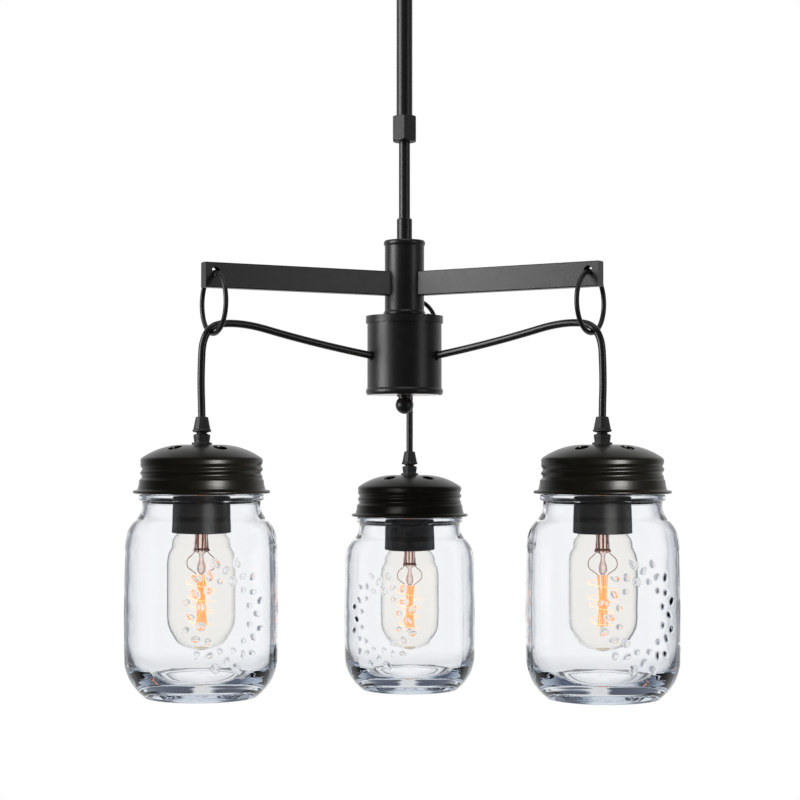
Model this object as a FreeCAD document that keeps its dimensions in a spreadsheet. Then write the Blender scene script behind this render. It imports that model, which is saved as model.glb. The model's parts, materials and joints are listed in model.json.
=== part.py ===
"""Three-arm jar pendant light on a height-adjustable rod, drawn as a parametric document.

The origin is the middle of the ceiling face, +Z is up and the light hangs below Z = 0.
The arms point to the back (+Y), to the front left and to the front right. Every size is a
cell of the sheet, and every sketch, feature and placement is bound to those cells.
"""
import FreeCAD
import Part
import Sketcher
import math
import os
from collections import namedtuple

SIZES = {
    # clearances
    "running_gap": 0.3,           # between pieces that move on each other
    "fit_gap": 0.1,               # between pieces that are assembled and stay put
    # ceiling end
    "canopy_radius": 60.0,
    "canopy_height": 25.0,
    "canopy_corner": 8.0,
    "canopy_wall": 1.5,
    "bar_length": 108.0,
    "bar_width": 19.0,
    "bar_thick": 2.0,
    "box_slot_pitch": 88.9,
    "box_slot_length": 10.0,
    "box_slot_width": 4.6,
    "stud_pitch": 66.0,
    "stud_radius": 2.0,
    "stud_proud": 4.0,
    "cap_nut_radius": 4.5,
    "cap_nut_height": 8.0,
    "tube_collar_radius": 9.0,
    "tube_collar_height": 4.0,
    "tube_nut_flats": 17.0,
    "tube_nut_height": 5.0,
    "tube_thread_proud": 2.5,
    # rod
    "outer_tube_radius": 5.5,
    "outer_tube_wall": 1.0,
    "inner_tube_radius": 3.85,
    "inner_tube_wall": 0.8,
    "inner_tube_length": 300.0,
    "lock_nut_depth": 305.0,      # from the ceiling to the top of the lock nut
    "lock_nut_flats": 15.7,
    "lock_nut_height": 17.8,
    "lock_nut_floor": 1.4,
    "lock_nut_chamfer": 1.6,
    "lock_nut_crown": 0.7,
    "tube_engagement": 9.0,       # length of the outer tube inside the lock nut
    "rod_shown": 53.0,            # inner tube between the lock nut and the coupling
    "coupling_radius": 5.25,
    "coupling_height": 15.3,
    "coupling_chamfer": 0.6,
    "stem_radius": 3.6,
    "stem_wall": 0.9,
    "stem_in_coupling": 7.0,
    "stem_in_finial": 4.5,
    # column and arms
    "column_radius": 13.5,
    "column_height": 52.0,
    "column_wall": 2.0,
    "column_bead": 0.75,
    "column_bead_height": 3.8,
    "arm_depth": 30.0,            # from the column's top to the middle of the arms
    "arm_reach": 148.75,
    "arm_height": 16.6,
    "arm_thick": 8.0,
    "arm_wall": 1.2,
    "arm_corner": 0.8,
    "arm_spacing": 120.0,
    "back_arm_heading": 90.0,
    "ring_hole_inset": 7.4,
    "ring_hole_radius": 3.0,
    "ring_hole_lift": 2.5,
    # housing under the column
    "housing_radius": 25.5,
    "housing_height": 54.0,
    "housing_wall": 1.5,
    "housing_bead": 1.0,
    "housing_bead_height": 4.6,
    "cap_overhang": 1.0,
    "cap_band_height": 4.8,
    "cap_plate": 1.8,
    "cover_thick": 1.5,
    "cover_lip": 2.0,
    "cord_exit_depth": 27.6,
    "bushing_wall": 0.8,
    "bushing_clearance": 0.7,
    "bushing_flange": 1.4,
    "bushing_flange_thick": 1.0,
    "screw_heading": 34.0,
    "screw_offset": 19.8,
    "screw_radius": 2.4,
    "screw_height": 2.6,
    "finial_ball": 6.15,
    "finial_neck_radius": 4.2,
    "finial_neck_height": 1.2,
    "finial_collar_radius": 5.15,
    "finial_collar_height": 1.2,
    # cords and rings
    "cord_radius": 2.5,
    "ring_radius": 20.0,
    "ring_wire_radius": 1.6,
    "ring_rest_gap": 0.75,
    # lamp: heights count from the middle of the arms, then from the top of the lid
    "lamp_reach": 149.5,
    "lamp_hang": 110.5,
    "back_lamp_lower": 22.0,
    "grip_flange_radius": 6.5,
    "grip_flange_height": 1.3,
    "grip_foot_radius": 5.05,
    "grip_waist_radius": 5.65,
    "grip_waist_height": 7.3,
    "grip_seam": 0.5,
    "grip_collar_radius": 6.0,
    "grip_collar_height": 1.5,
    "grip_shoulder_radius": 5.6,
    "grip_top_radius": 3.9,
    "grip_height": 18.0,
    "grip_stub_radius": 4.3,
    "grip_stub_height": 12.0,
    "cord_seat": 7.5,
    "shank_radius": 4.2,
    "shank_length": 16.0,
    "lead_bore_radius": 1.8,
    # lid
    "lid_wall": 0.8,
    "lid_flat_radius": 12.0,
    "lid_dome_radius": 39.2,
    "lid_dome_drop": 8.9,
    "lid_groove_radius": 38.7,
    "lid_edge_bend": 3.6,
    "lid_upper_groove": 13.7,     # depths below the lid's top
    "lid_groove_width": 1.6,
    "lid_bead_height": 4.0,
    "lid_bead_bend": 2.6,
    "lid_step": 1.4,
    "lid_flare": 0.9,
    "lid_skirt_height": 7.1,
    "lid_rim_width": 2.6,
    "lid_rim_height": 2.7,
    "vent_radius": 4.5,
    "vent_offset": 24.5,
    "vent_count": 5.0,
    # lamp socket
    "cup_top_radius": 18.25,
    "cup_foot_radius": 19.2,
    "cup_wall": 1.0,
    "cup_drop": 0.6,
    "cup_depth": 58.5,
    "socket_drop": 9.5,
    "socket_radius": 16.8,
    "socket_depth": 55.5,
    "socket_hub": 8.5,
    "socket_seat_depth": 26.5,
    # bulb
    "base_radius": 13.1,
    "base_wall": 0.5,
    "base_height": 26.0,
    "base_tip_radius": 4.5,
    "base_tip_height": 2.0,
    "base_shoulder": 3.0,
    "bulb_radius": 22.2,
    "bulb_wall": 0.8,
    "bulb_throat_drop": 50.0,
    "bulb_shoulder_top": 56.5,
    "bulb_shoulder_foot": 78.0,
    "bulb_shoulder_bend": 33.0,
    "bulb_depth": 132.0,
    "stem_foot_depth": 80.5,
    "stem_tube_radius": 4.2,
    "stem_rod_radius": 1.5,
    "stem_press_depth": 68.5,
    # jar and gasket
    "gasket_inner_radius": 32.6,
    "gasket_thick": 2.1,
    "gasket_drop": 8.8,
    "jar_seat_gap": 0.2,
    "jar_neck_radius": 37.4,
    "jar_neck_wall": 3.2,
    "jar_ring_radius": 40.4,
    "jar_ring_drop": 32.6,
    "jar_ring_height": 3.4,
    "jar_throat_radius": 38.2,
    "jar_throat_height": 2.6,
    "jar_hollow_bend": 15.0,
    "jar_hollow_width": 4.3,
    "jar_hollow_height": 10.3,
    "jar_shoulder_bend": 22.0,
    "jar_shoulder_height": 19.7,
    "jar_side_radius": 49.2,
    "jar_belly": 0.8,
    "jar_belly_depth": 110.0,
    "jar_wall": 3.2,
    "jar_depth": 162.5,
    "jar_heel_height": 25.0,
    "jar_heel_bend": 33.0,
    "jar_foot_radius": 36.0,
    "jar_foot_width": 6.0,
    "jar_push_up": 4.0,
    "jar_floor": 8.0,
}

LAMPS = ("back", "left", "right")

# the cord's free points: distance from the rod's axis, height above the middle of the arms
CORD_TO_RING = ((44.0, -46.7), (84.0, -39.0), (122.0, -29.9), (148.8, -33.2))
FRONT_DROP = ((150.4, -67.0),)
BACK_DROP = ((150.2, -65.0), (150.6, -92.5))
SPLIT_HEIGHT = -51.0
SHORT_ARC_SHARE = 0.45

Corner = namedtuple("Corner", "x y bend clockwise", defaults=(None, False))


class Size:
    """A number of the model together with the sheet formula that gives it."""

    def __init__(self, value, formula):
        self.value = float(value)
        self.formula = formula

    @staticmethod
    def of(thing):
        """Return thing as a Size, so that plain numbers can stand in a formula."""
        if isinstance(thing, Size):
            return thing
        return Size(thing, f"({float(thing)!r})")

    def __add__(self, other):
        other = Size.of(other)
        return Size(self.value + other.value, f"({self.formula} + {other.formula})")

    def __sub__(self, other):
        other = Size.of(other)
        return Size(self.value - other.value, f"({self.formula} - {other.formula})")

    def __mul__(self, other):
        other = Size.of(other)
        return Size(self.value * other.value, f"({self.formula} * {other.formula})")

    def __truediv__(self, other):
        other = Size.of(other)
        return Size(self.value / other.value, f"({self.formula} / {other.formula})")

    def __radd__(self, other):
        return Size.of(other) + self

    def __rsub__(self, other):
        return Size.of(other) - self

    def __rmul__(self, other):
        return Size.of(other) * self

    def __neg__(self):
        return Size(-self.value, f"(-{self.formula})")


def cosine(angle):
    """Return the cosine of an angle in degrees."""
    return Size(math.cos(math.radians(angle.value)), f"cos({angle.formula} * 1deg)")


def sine(angle):
    """Return the sine of an angle in degrees."""
    return Size(math.sin(math.radians(angle.value)), f"sin({angle.formula} * 1deg)")


def root(size):
    """Return the square root of a size."""
    return Size(math.sqrt(size.value), f"sqrt({size.formula})")


class Sheet:
    """The spreadsheet of driving sizes, read as attributes."""

    def __init__(self, sizes):
        self.cells = document.addObject("Spreadsheet::Sheet", "dims")
        for row, (name, value) in enumerate(sizes.items(), start=1):
            self.cells.set(f"A{row}", name)
            self.cells.set(f"B{row}", str(value))
            self.cells.setAlias(f"B{row}", name)
            setattr(self, name, Size(value, f"dims.{name}"))
        document.recompute()


document = FreeCAD.newDocument("jar_pendant")
d = Sheet(SIZES)
nodes = {}


# ---------------------------------------------------------------- drawing helpers

def keep(label, thing):
    """Name an object of the document and count it as a piece of the light."""
    thing.Label = label
    nodes[label] = thing
    return thing


def new_body(label):
    """Start a body."""
    body = document.addObject("PartDesign::Body", label)
    body.Label = label
    return body


def new_sketch(body, role, level=None):
    """Start a sketch on one of the body's origin planes, raised by level along its normal."""
    sketch = body.newObject("Sketcher::SketchObject", "sketch")
    plane = next(o for o in body.Origin.OriginFeatures if o.Role == role)
    sketch.AttachmentSupport = [(plane, "")]
    sketch.MapMode = "FlatFace"
    if level is not None:
        sketch.setExpression("AttachmentOffset.Base.z", level.formula)
    return sketch


def hold_point(sketch, edge, end, x, y):
    """Tie a sketch point to its place."""
    for kind, value, axis in (("DistanceX", x, -2), ("DistanceY", y, -1)):
        if not isinstance(value, Size):
            sketch.addConstraint(Sketcher.Constraint("PointOnObject", edge, end, axis))
            continue
        place = sketch.addConstraint(Sketcher.Constraint(kind, -1, 1, edge, end, value.value))
        sketch.setExpression(f"Constraints[{place}]", value.formula)


def arc_through(start, end, radius, clockwise):
    """Return the short arc of a radius between two points, and whether it runs backwards."""
    chord = end - start
    height = math.sqrt(max(radius ** 2 - chord.Length ** 2 / 4, 0.0))
    left = FreeCAD.Vector(-chord.y, chord.x, 0) * (height / chord.Length)
    centre = (start + end) * 0.5 + (-left if clockwise else left)
    first, last = (end, start) if clockwise else (start, end)
    angles = [math.atan2(p.y - centre.y, p.x - centre.x) for p in (first, last)]
    circle = Part.Circle(centre, FreeCAD.Vector(0, 0, 1), radius)
    return Part.ArcOfCircle(circle, *angles)


def draw(sketch, corners):
    """Draw a closed outline through corners, each tied to the sheet; a bend makes an arc."""
    points = [FreeCAD.Vector(Size.of(c.x).value, Size.of(c.y).value, 0) for c in corners]
    ends = []
    for here, (corner, start) in enumerate(zip(corners, points)):
        end = points[(here + 1) % len(points)]
        if corner.bend is None:
            edge = sketch.addGeometry(Part.LineSegment(start, end), False)
            ends.append((edge, 1, 2))
            continue
        arc = arc_through(start, end, corner.bend.value, corner.clockwise)
        edge = sketch.addGeometry(arc, False)
        ends.append((edge, 2, 1) if corner.clockwise else (edge, 1, 2))
    for here, (edge, first, last) in enumerate(ends):
        after, after_first, _ = ends[(here + 1) % len(ends)]
        sketch.addConstraint(Sketcher.Constraint("Coincident", edge, last, after, after_first))
        hold_point(sketch, edge, first, corners[here].x, corners[here].y)
    for (edge, _, _), corner in zip(ends, corners):
        if corner.bend is not None:
            place = sketch.addConstraint(Sketcher.Constraint("Radius", edge, corner.bend.value))
            sketch.setExpression(f"Constraints[{place}]", corner.bend.formula)


def draw_circle(sketch, x, y, radius):
    """Draw one circle tied to the sheet."""
    centre = FreeCAD.Vector(Size.of(x).value, Size.of(y).value, 0)
    edge = sketch.addGeometry(Part.Circle(centre, FreeCAD.Vector(0, 0, 1), radius.value), False)
    hold_point(sketch, edge, 3, x, y)
    place = sketch.addConstraint(Sketcher.Constraint("Radius", edge, radius.value))
    sketch.setExpression(f"Constraints[{place}]", radius.formula)


def box_corners(half_x, half_y, corner=None):
    """Return the corners of a middled rectangle, rounded where a corner radius is given."""
    if corner is None:
        return [Corner(-half_x, -half_y), Corner(half_x, -half_y),
                Corner(half_x, half_y), Corner(-half_x, half_y)]
    return [Corner(-(half_x - corner), -half_y), Corner(half_x - corner, -half_y, corner),
            Corner(half_x, -(half_y - corner)), Corner(half_x, half_y - corner, corner),
            Corner(half_x - corner, half_y), Corner(-(half_x - corner), half_y, corner),
            Corner(-half_x, half_y - corner), Corner(-half_x, -(half_y - corner), corner)]


def hexagon_corners(flats):
    """Return the corners of a hexagon, one of them towards -Y."""
    reach = flats / root(Size.of(3))
    half = reach / 2
    return [Corner(0, -reach), Corner(flats / 2, -half), Corner(flats / 2, half),
            Corner(0, reach), Corner(-flats / 2, half), Corner(-flats / 2, -half)]


def revolve(body, corners, axis="V_Axis"):
    """Turn a half section on the XZ plane about the sketch's own axis."""
    sketch = new_sketch(body, "XZ_Plane")
    draw(sketch, corners)
    turned = body.newObject("PartDesign::Revolution", "turned")
    turned.Profile = sketch
    turned.ReferenceAxis = (sketch, [axis])
    turned.Angle = 360
    return turned


def turned_body(label, corners):
    """Make a whole body from one half section."""
    body = new_body(label)
    revolve(body, corners)
    return body


def pad(body, sketch, height):
    """Raise a sketch along its normal."""
    solid = body.newObject("PartDesign::Pad", "pad")
    solid.Profile = sketch
    solid.setExpression("Length", height.formula)
    return solid


def cut_through(body, sketch):
    """Cut a sketch through the whole body, both ways."""
    cut = body.newObject("PartDesign::Pocket", "cut")
    cut.Profile = sketch
    cut.Type = "ThroughAll"
    cut.SideType = "Symmetric"
    return cut


def cut_to(body, sketch, depth):
    """Cut a sketch along its own normal to a depth."""
    cut = body.newObject("PartDesign::Pocket", "cut")
    cut.Profile = sketch
    cut.Reversed = True
    cut.setExpression("Length", depth.formula)
    return cut


def repeat_round(body, feature, count):
    """Repeat a feature round the body's Z axis."""
    pattern = body.newObject("PartDesign::PolarPattern", "round")
    pattern.Originals = [feature]
    pattern.Axis = (next(o for o in body.Origin.OriginFeatures if o.Role == "Z_Axis"), [""])
    pattern.Angle = 360
    pattern.setExpression("Occurrences", count.formula)
    body.Tip = pattern
    return pattern


def groove(body, corners):
    """Turn a cutting section about the body's Z axis."""
    sketch = new_sketch(body, "XZ_Plane")
    draw(sketch, corners)
    cut = body.newObject("PartDesign::Groove", "groove")
    cut.Profile = sketch
    cut.ReferenceAxis = (sketch, ["V_Axis"])
    cut.Angle = 360
    return cut


def place(thing, x=None, y=None, z=None, turn=None):
    """Tie an object's place and its turn about Z to the sheet."""
    for axis, size in (("x", x), ("y", y), ("z", z)):
        if size is not None:
            thing.setExpression(f"Placement.Base.{axis}", size.formula)
    if turn is not None:
        thing.setExpression("Placement.Rotation.Angle", turn.formula)
    return thing


def ring_section(inner, outer, low, high):
    """Return the half section of a plain tube."""
    return [Corner(inner, low), Corner(outer, low), Corner(outer, high), Corner(inner, high)]


def group(label, things):
    """Count several like pieces as one named group."""
    whole = document.addObject("Part::Compound", label)
    whole.Links = things
    return keep(label, whole)


# ---------------------------------------------------------------- levels below the ceiling

canopy_floor = -d.canopy_height
lock_nut_top = -d.lock_nut_depth
lock_nut_foot = lock_nut_top - d.lock_nut_height
coupling_top = lock_nut_foot - d.rod_shown
column_top = coupling_top - d.coupling_height
column_foot = column_top - d.column_height
arm_level = column_top - d.arm_depth
housing_foot = column_foot - d.housing_height
cord_exit_level = column_foot - d.cord_exit_depth
ring_hole_reach = d.arm_reach - d.ring_hole_inset
ring_hole_level = arm_level + d.ring_hole_lift
ring_wire_level = ring_hole_level - (d.ring_hole_radius - d.ring_wire_radius - d.ring_rest_gap)
stem_hole = d.stem_radius + d.fit_gap
rod_hole = d.inner_tube_radius + d.running_gap
lid_under = -d.lid_wall
shank_hole = d.shank_radius + d.fit_gap


def heading(lamp):
    """Return the direction of a lamp's arm."""
    steps = LAMPS.index(lamp)
    return d.back_arm_heading + d.arm_spacing * steps


def lid_level(lamp):
    """Return the height of a lamp's lid top; the back lamp hangs a little lower."""
    level = arm_level - d.lamp_hang
    return level - d.back_lamp_lower if lamp == "back" else level


# ---------------------------------------------------------------- ceiling end

def make_crossbar():
    """Make the strap that bolts to the ceiling box."""
    body = new_body("crossbar")
    half_length = d.bar_length / 2
    half_width = d.bar_width / 2
    strap = new_sketch(body, "XY_Plane")
    draw(strap, box_corners(half_length, half_width))
    pad(body, strap, d.bar_thick)
    for side in (-1, 1):
        slot = new_sketch(body, "XY_Plane")
        middle = d.box_slot_pitch / 2 * side
        straight = (d.box_slot_length - d.box_slot_width) / 2
        radius = d.box_slot_width / 2
        left = middle - straight
        right = middle + straight
        draw(slot, [Corner(left, -radius), Corner(right, -radius, radius),
                    Corner(right + radius, 0, radius), Corner(right, radius),
                    Corner(left, radius, radius), Corner(left - radius, 0, radius)])
        cut_through(body, slot)
        stud = new_sketch(body, "XY_Plane")
        draw_circle(stud, d.stud_pitch / 2 * side, 0, d.stud_radius + d.fit_gap)
        cut_through(body, stud)
    keep("crossbar", place(body, z=-d.bar_thick))


def make_canopy():
    """Make the pressed ceiling cover."""
    bend = d.canopy_corner
    inner = d.canopy_radius - d.canopy_wall
    inner_bend = d.canopy_corner - d.canopy_wall
    hole = d.outer_tube_radius + d.fit_gap
    body = turned_body("canopy", [
        Corner(hole, canopy_floor), Corner(d.canopy_radius - bend, canopy_floor, bend),
        Corner(d.canopy_radius, canopy_floor + bend), Corner(d.canopy_radius, 0),
        Corner(inner, 0), Corner(inner, canopy_floor + bend, inner_bend, True),
        Corner(inner - inner_bend, canopy_floor + d.canopy_wall),
        Corner(hole, canopy_floor + d.canopy_wall)])
    for side in (-1, 1):
        hole_sketch = new_sketch(body, "XY_Plane")
        draw_circle(hole_sketch, d.stud_pitch / 2 * side, 0, d.stud_radius + d.fit_gap)
        cut_through(body, hole_sketch)
    keep("canopy", body)


def make_canopy_fastenings():
    """Make the two studs and the two cap nuts that hold the canopy up."""
    studs = []
    caps = []
    bore = d.stud_radius + d.fit_gap
    for side in (-1, 1):
        stud = turned_body("stud", [
            Corner(0, canopy_floor - d.stud_proud), Corner(d.stud_radius, canopy_floor - d.stud_proud),
            Corner(d.stud_radius, 0), Corner(0, 0)])
        studs.append(place(stud, x=d.stud_pitch / 2 * side))
        skirt = canopy_floor - (d.cap_nut_height - d.cap_nut_radius)
        blind = canopy_floor - d.stud_proud - d.fit_gap
        cap = turned_body("cap", [
            Corner(0, canopy_floor - d.cap_nut_height, d.cap_nut_radius),
            Corner(d.cap_nut_radius, skirt), Corner(d.cap_nut_radius, canopy_floor),
            Corner(bore, canopy_floor), Corner(bore, blind), Corner(0, blind)])
        caps.append(place(cap, x=d.stud_pitch / 2 * side))
    group("canopy_studs", studs)
    group("canopy_cap_nuts", caps)


def make_tube_nut():
    """Make the hexagon nut that clamps the tube in the canopy."""
    body = new_body("tube_nut")
    sketch = new_sketch(body, "XY_Plane")
    draw(sketch, hexagon_corners(d.tube_nut_flats))
    pad(body, sketch, d.tube_nut_height)
    bore = new_sketch(body, "XY_Plane")
    draw_circle(bore, 0, 0, d.outer_tube_radius + d.fit_gap)
    cut_through(body, bore)
    keep("tube_nut", place(body, z=canopy_floor + d.canopy_wall))


# ---------------------------------------------------------------- rod

def make_outer_tube():
    """Make the fixed tube with the collar that the canopy rests on."""
    top = canopy_floor + d.canopy_wall + d.tube_nut_height + d.tube_thread_proud
    foot = lock_nut_top - d.tube_engagement
    inner = d.outer_tube_radius - d.outer_tube_wall
    collar = canopy_floor - d.tube_collar_height
    keep("outer_tube", turned_body("outer_tube", [
        Corner(inner, foot), Corner(d.outer_tube_radius, foot),
        Corner(d.outer_tube_radius, collar), Corner(d.tube_collar_radius, collar),
        Corner(d.tube_collar_radius, canopy_floor), Corner(d.outer_tube_radius, canopy_floor),
        Corner(d.outer_tube_radius, top), Corner(inner, top)]))


def make_lock_nut():
    """Make the hexagon lock nut, with its crown, its chamfer and its stepped bore."""
    body = new_body("lock_nut")
    sketch = new_sketch(body, "XY_Plane")
    draw(sketch, hexagon_corners(d.lock_nut_flats))
    pad(body, sketch, d.lock_nut_height)
    tube_bore = d.outer_tube_radius + d.running_gap
    beyond = d.lock_nut_flats
    vertex = d.lock_nut_flats / root(Size.of(3))
    groove(body, [Corner(rod_hole, -d.fit_gap), Corner(rod_hole, d.lock_nut_floor),
                  Corner(tube_bore, d.lock_nut_floor),
                  Corner(tube_bore, d.lock_nut_height + d.fit_gap),
                  Corner(0, d.lock_nut_height + d.fit_gap), Corner(0, -d.fit_gap)])
    groove(body, [Corner(vertex - d.lock_nut_chamfer, 0), Corner(beyond, 0),
                  Corner(beyond, d.lock_nut_chamfer), Corner(vertex, d.lock_nut_chamfer)])
    crown = d.lock_nut_height - d.lock_nut_crown
    groove(body, [Corner(vertex, crown), Corner(beyond, crown),
                  Corner(beyond, d.lock_nut_height),
                  Corner(vertex - d.lock_nut_chamfer, d.lock_nut_height)])
    keep("lock_nut", place(body, z=lock_nut_foot))


def make_collet():
    """Make the sleeve that the lock nut squeezes on the inner tube."""
    low = lock_nut_foot + d.lock_nut_floor + d.running_gap
    high = lock_nut_top - d.tube_engagement - d.running_gap
    keep("collet", turned_body("collet", ring_section(rod_hole, d.outer_tube_radius, low, high)))


def make_inner_tube():
    """Make the sliding tube, from the coupling up inside the outer tube."""
    foot = column_top + d.stem_in_coupling
    inner = d.inner_tube_radius - d.inner_tube_wall
    keep("inner_tube", turned_body("inner_tube", ring_section(
        inner, d.inner_tube_radius, foot, foot + d.inner_tube_length)))


def make_coupling():
    """Make the collar that joins the inner tube to the stem of the hub."""
    seat = column_top + d.stem_in_coupling
    tube_bore = d.inner_tube_radius + d.fit_gap
    corner = d.coupling_radius - d.coupling_chamfer
    keep("coupling", turned_body("coupling", [
        Corner(stem_hole, column_top), Corner(d.coupling_radius, column_top),
        Corner(d.coupling_radius, coupling_top - d.coupling_chamfer),
        Corner(corner, coupling_top), Corner(tube_bore, coupling_top),
        Corner(tube_bore, seat), Corner(stem_hole, seat)]))


def make_stem_rod():
    """Make the threaded pipe that clamps column, housing, cover and finial together."""
    foot = housing_foot - d.finial_collar_height - d.stem_in_finial
    top = column_top + d.stem_in_coupling
    keep("stem_rod", turned_body("stem_rod", ring_section(
        d.stem_radius - d.stem_wall, d.stem_radius, foot, top)))


# ---------------------------------------------------------------- column and arms

def make_column():
    """Make the hollow column with a rounded bead round each end."""
    bead = d.column_bead_height
    bend = bulge_bend(bead, d.column_bead)
    bore = d.column_radius - d.column_wall
    keep("column", turned_body("column", [
        Corner(stem_hole, column_foot), Corner(d.column_radius, column_foot, bend),
        Corner(d.column_radius, column_foot + bead),
        Corner(d.column_radius, column_top - bead, bend), Corner(d.column_radius, column_top),
        Corner(stem_hole, column_top), Corner(stem_hole, column_top - d.column_wall),
        Corner(bore, column_top - d.column_wall), Corner(bore, column_foot + d.column_wall),
        Corner(stem_hole, column_foot + d.column_wall)]))


def make_arm(lamp):
    """Make one closed-ended box arm, coped to the column, with the hole for its ring."""
    label = f"{lamp}_arm"
    body = new_body(label)
    outside = new_sketch(body, "YZ_Plane")
    draw(outside, box_corners(d.arm_thick / 2, d.arm_height / 2, d.arm_corner))
    pad(body, outside, d.arm_reach)
    inside = new_sketch(body, "YZ_Plane")
    draw(inside, box_corners(d.arm_thick / 2 - d.arm_wall, d.arm_height / 2 - d.arm_wall))
    cut_to(body, inside, d.arm_reach - d.arm_wall)
    cope = new_sketch(body, "XY_Plane")
    draw_circle(cope, 0, 0, d.column_radius + d.fit_gap / 2)
    cut_through(body, cope)
    hole = new_sketch(body, "XZ_Plane")
    draw_circle(hole, ring_hole_reach, d.ring_hole_lift, d.ring_hole_radius)
    cut_through(body, hole)
    keep(label, place(body, z=arm_level, turn=heading(lamp)))


# ---------------------------------------------------------------- housing

def make_housing_shell():
    """Make the wiring can: rolled foot, inner lip for the cover and three cord holes."""
    body = new_body("housing_shell")
    top = -d.cap_plate
    foot = -d.housing_height
    inner = d.housing_radius - d.housing_wall
    recess = inner + d.fit_gap
    seat = foot + d.cover_thick + d.fit_gap
    bead_top = foot + d.housing_bead_height
    bend = bulge_bend(d.housing_bead_height, d.housing_bead)
    revolve(body, [
        Corner(recess, foot), Corner(d.housing_radius, foot, bend),
        Corner(d.housing_radius, bead_top), Corner(d.housing_radius, top), Corner(inner, top),
        Corner(inner, seat + d.housing_wall), Corner(inner - d.cover_lip, seat + d.housing_wall),
        Corner(inner - d.cover_lip, seat), Corner(recess, seat)])
    exit_hole = new_sketch(body, "YZ_Plane")
    radius = d.cord_radius + d.bushing_clearance + d.bushing_wall + d.fit_gap
    draw_circle(exit_hole, 0, -d.cord_exit_depth, radius)
    cut = cut_to(body, exit_hole, d.housing_radius * 2)
    document.recompute()
    repeat_round(body, cut, Size.of(len(LAMPS)))
    keep("housing_shell", place(body, z=column_foot, turn=d.back_arm_heading))


def make_housing_cap():
    """Make the flat cap with the sharp band that closes the can's top."""
    outer = d.housing_radius + d.cap_overhang
    skirt = d.housing_radius + d.fit_gap
    keep("housing_cap", turned_body("housing_cap", [
        Corner(stem_hole, column_foot), Corner(stem_hole, column_foot - d.cap_plate),
        Corner(skirt, column_foot - d.cap_plate), Corner(skirt, column_foot - d.cap_band_height),
        Corner(outer, column_foot - d.cap_band_height), Corner(outer, column_foot)]))


def make_housing_cover():
    """Make the plate that closes the can from below."""
    edge = d.housing_radius - d.housing_wall
    low = housing_foot
    keep("housing_cover", turned_body("housing_cover", ring_section(
        stem_hole, edge, low, low + d.cover_thick)))


def make_housing_screw():
    """Make the small pan-head screw on the cap."""
    shank = d.screw_radius / 2
    head = d.screw_height
    body = turned_body("housing_screw", [
        Corner(0, 0), Corner(d.screw_radius, 0), Corner(d.screw_radius, head / 2),
        Corner(shank, head), Corner(0, head)])
    place(body, z=column_foot, x=d.screw_offset * cosine(d.screw_heading),
          y=d.screw_offset * sine(d.screw_heading))
    keep("housing_screw", body)


def make_cord_bushings():
    """Make the three sleeves that line the cord holes, each with its flange inside the can."""
    bore = d.cord_radius + d.bushing_clearance
    sleeve = bore + d.bushing_wall
    inner = d.housing_radius - d.housing_wall
    rim = sleeve + d.bushing_flange
    seat = root(inner * inner - rim * rim) - d.fit_gap
    inner_end = seat - d.bushing_flange_thick
    bushings = []
    for lamp in LAMPS:
        body = new_body("bushing")
        revolve(body, [
            Corner(inner_end, bore), Corner(d.housing_radius, bore),
            Corner(d.housing_radius, sleeve), Corner(seat, sleeve),
            Corner(seat, rim), Corner(inner_end, rim)],
            axis="H_Axis")
        bushings.append(place(body, z=cord_exit_level, turn=heading(lamp)))
    group("cord_bushings", bushings)


def make_finial():
    """Make the ball finial that screws onto the stem."""
    bore = d.stem_radius + d.fit_gap
    collar = -d.finial_collar_height
    neck = collar - d.finial_neck_height
    ball = d.finial_ball
    touch = root(ball * ball - d.finial_neck_radius * d.finial_neck_radius)
    middle = neck - touch
    depth = collar - d.stem_in_finial - d.fit_gap
    body = turned_body("finial", [
        Corner(bore, 0), Corner(bore, depth), Corner(0, depth), Corner(0, middle - ball, ball),
        Corner(ball, middle, ball), Corner(d.finial_neck_radius, neck),
        Corner(d.finial_neck_radius, collar), Corner(d.finial_collar_radius, collar),
        Corner(d.finial_collar_radius, 0)])
    keep("finial", place(body, z=housing_foot))


# ---------------------------------------------------------------- rings and cords

def make_ring(lamp):
    """Make the wire ring that hangs in the arm's hole and carries the cord."""
    label = f"{lamp}_ring"
    ring = document.addObject("Part::Torus", label)
    ring.setExpression("Radius1", d.ring_radius.formula)
    ring.setExpression("Radius2", d.ring_wire_radius.formula)
    turn = heading(lamp)
    place(ring, x=ring_hole_reach * cosine(turn), y=ring_hole_reach * sine(turn),
          z=ring_wire_level - d.ring_radius)
    # the ring stands square to its arm: its axis points along the arm
    axis = FreeCAD.Vector(math.cos(math.radians(turn.value)), math.sin(math.radians(turn.value)), 0)
    ring.Placement = FreeCAD.Placement(ring.Placement.Base,
                                       FreeCAD.Rotation(FreeCAD.Vector(0, 0, 1), axis))
    keep(label, ring)


def cord_points(lamp):
    """Return a cord's points in its arm's upright plane, from the can to the lamp."""
    arm = arm_level.value
    seat = lid_level(lamp).value + d.cord_seat.value
    entry = lid_level(lamp).value + d.grip_height.value + d.cord_radius.value
    start = d.housing_radius.value - d.housing_wall.value - d.bushing_flange.value * 2
    drop = BACK_DROP if lamp == "back" else FRONT_DROP
    free = [(reach, arm + height) for reach, height in CORD_TO_RING + drop]
    slope = (free[0][1] - cord_exit_level.value) / (free[0][0] - d.housing_radius.value)
    first = (start, cord_exit_level.value - slope * (d.housing_radius.value - start))
    last = [(d.lamp_reach.value, entry), (d.lamp_reach.value, seat)]
    return [FreeCAD.Vector(reach, 0, height) for reach, height in [first] + free + last]


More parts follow.
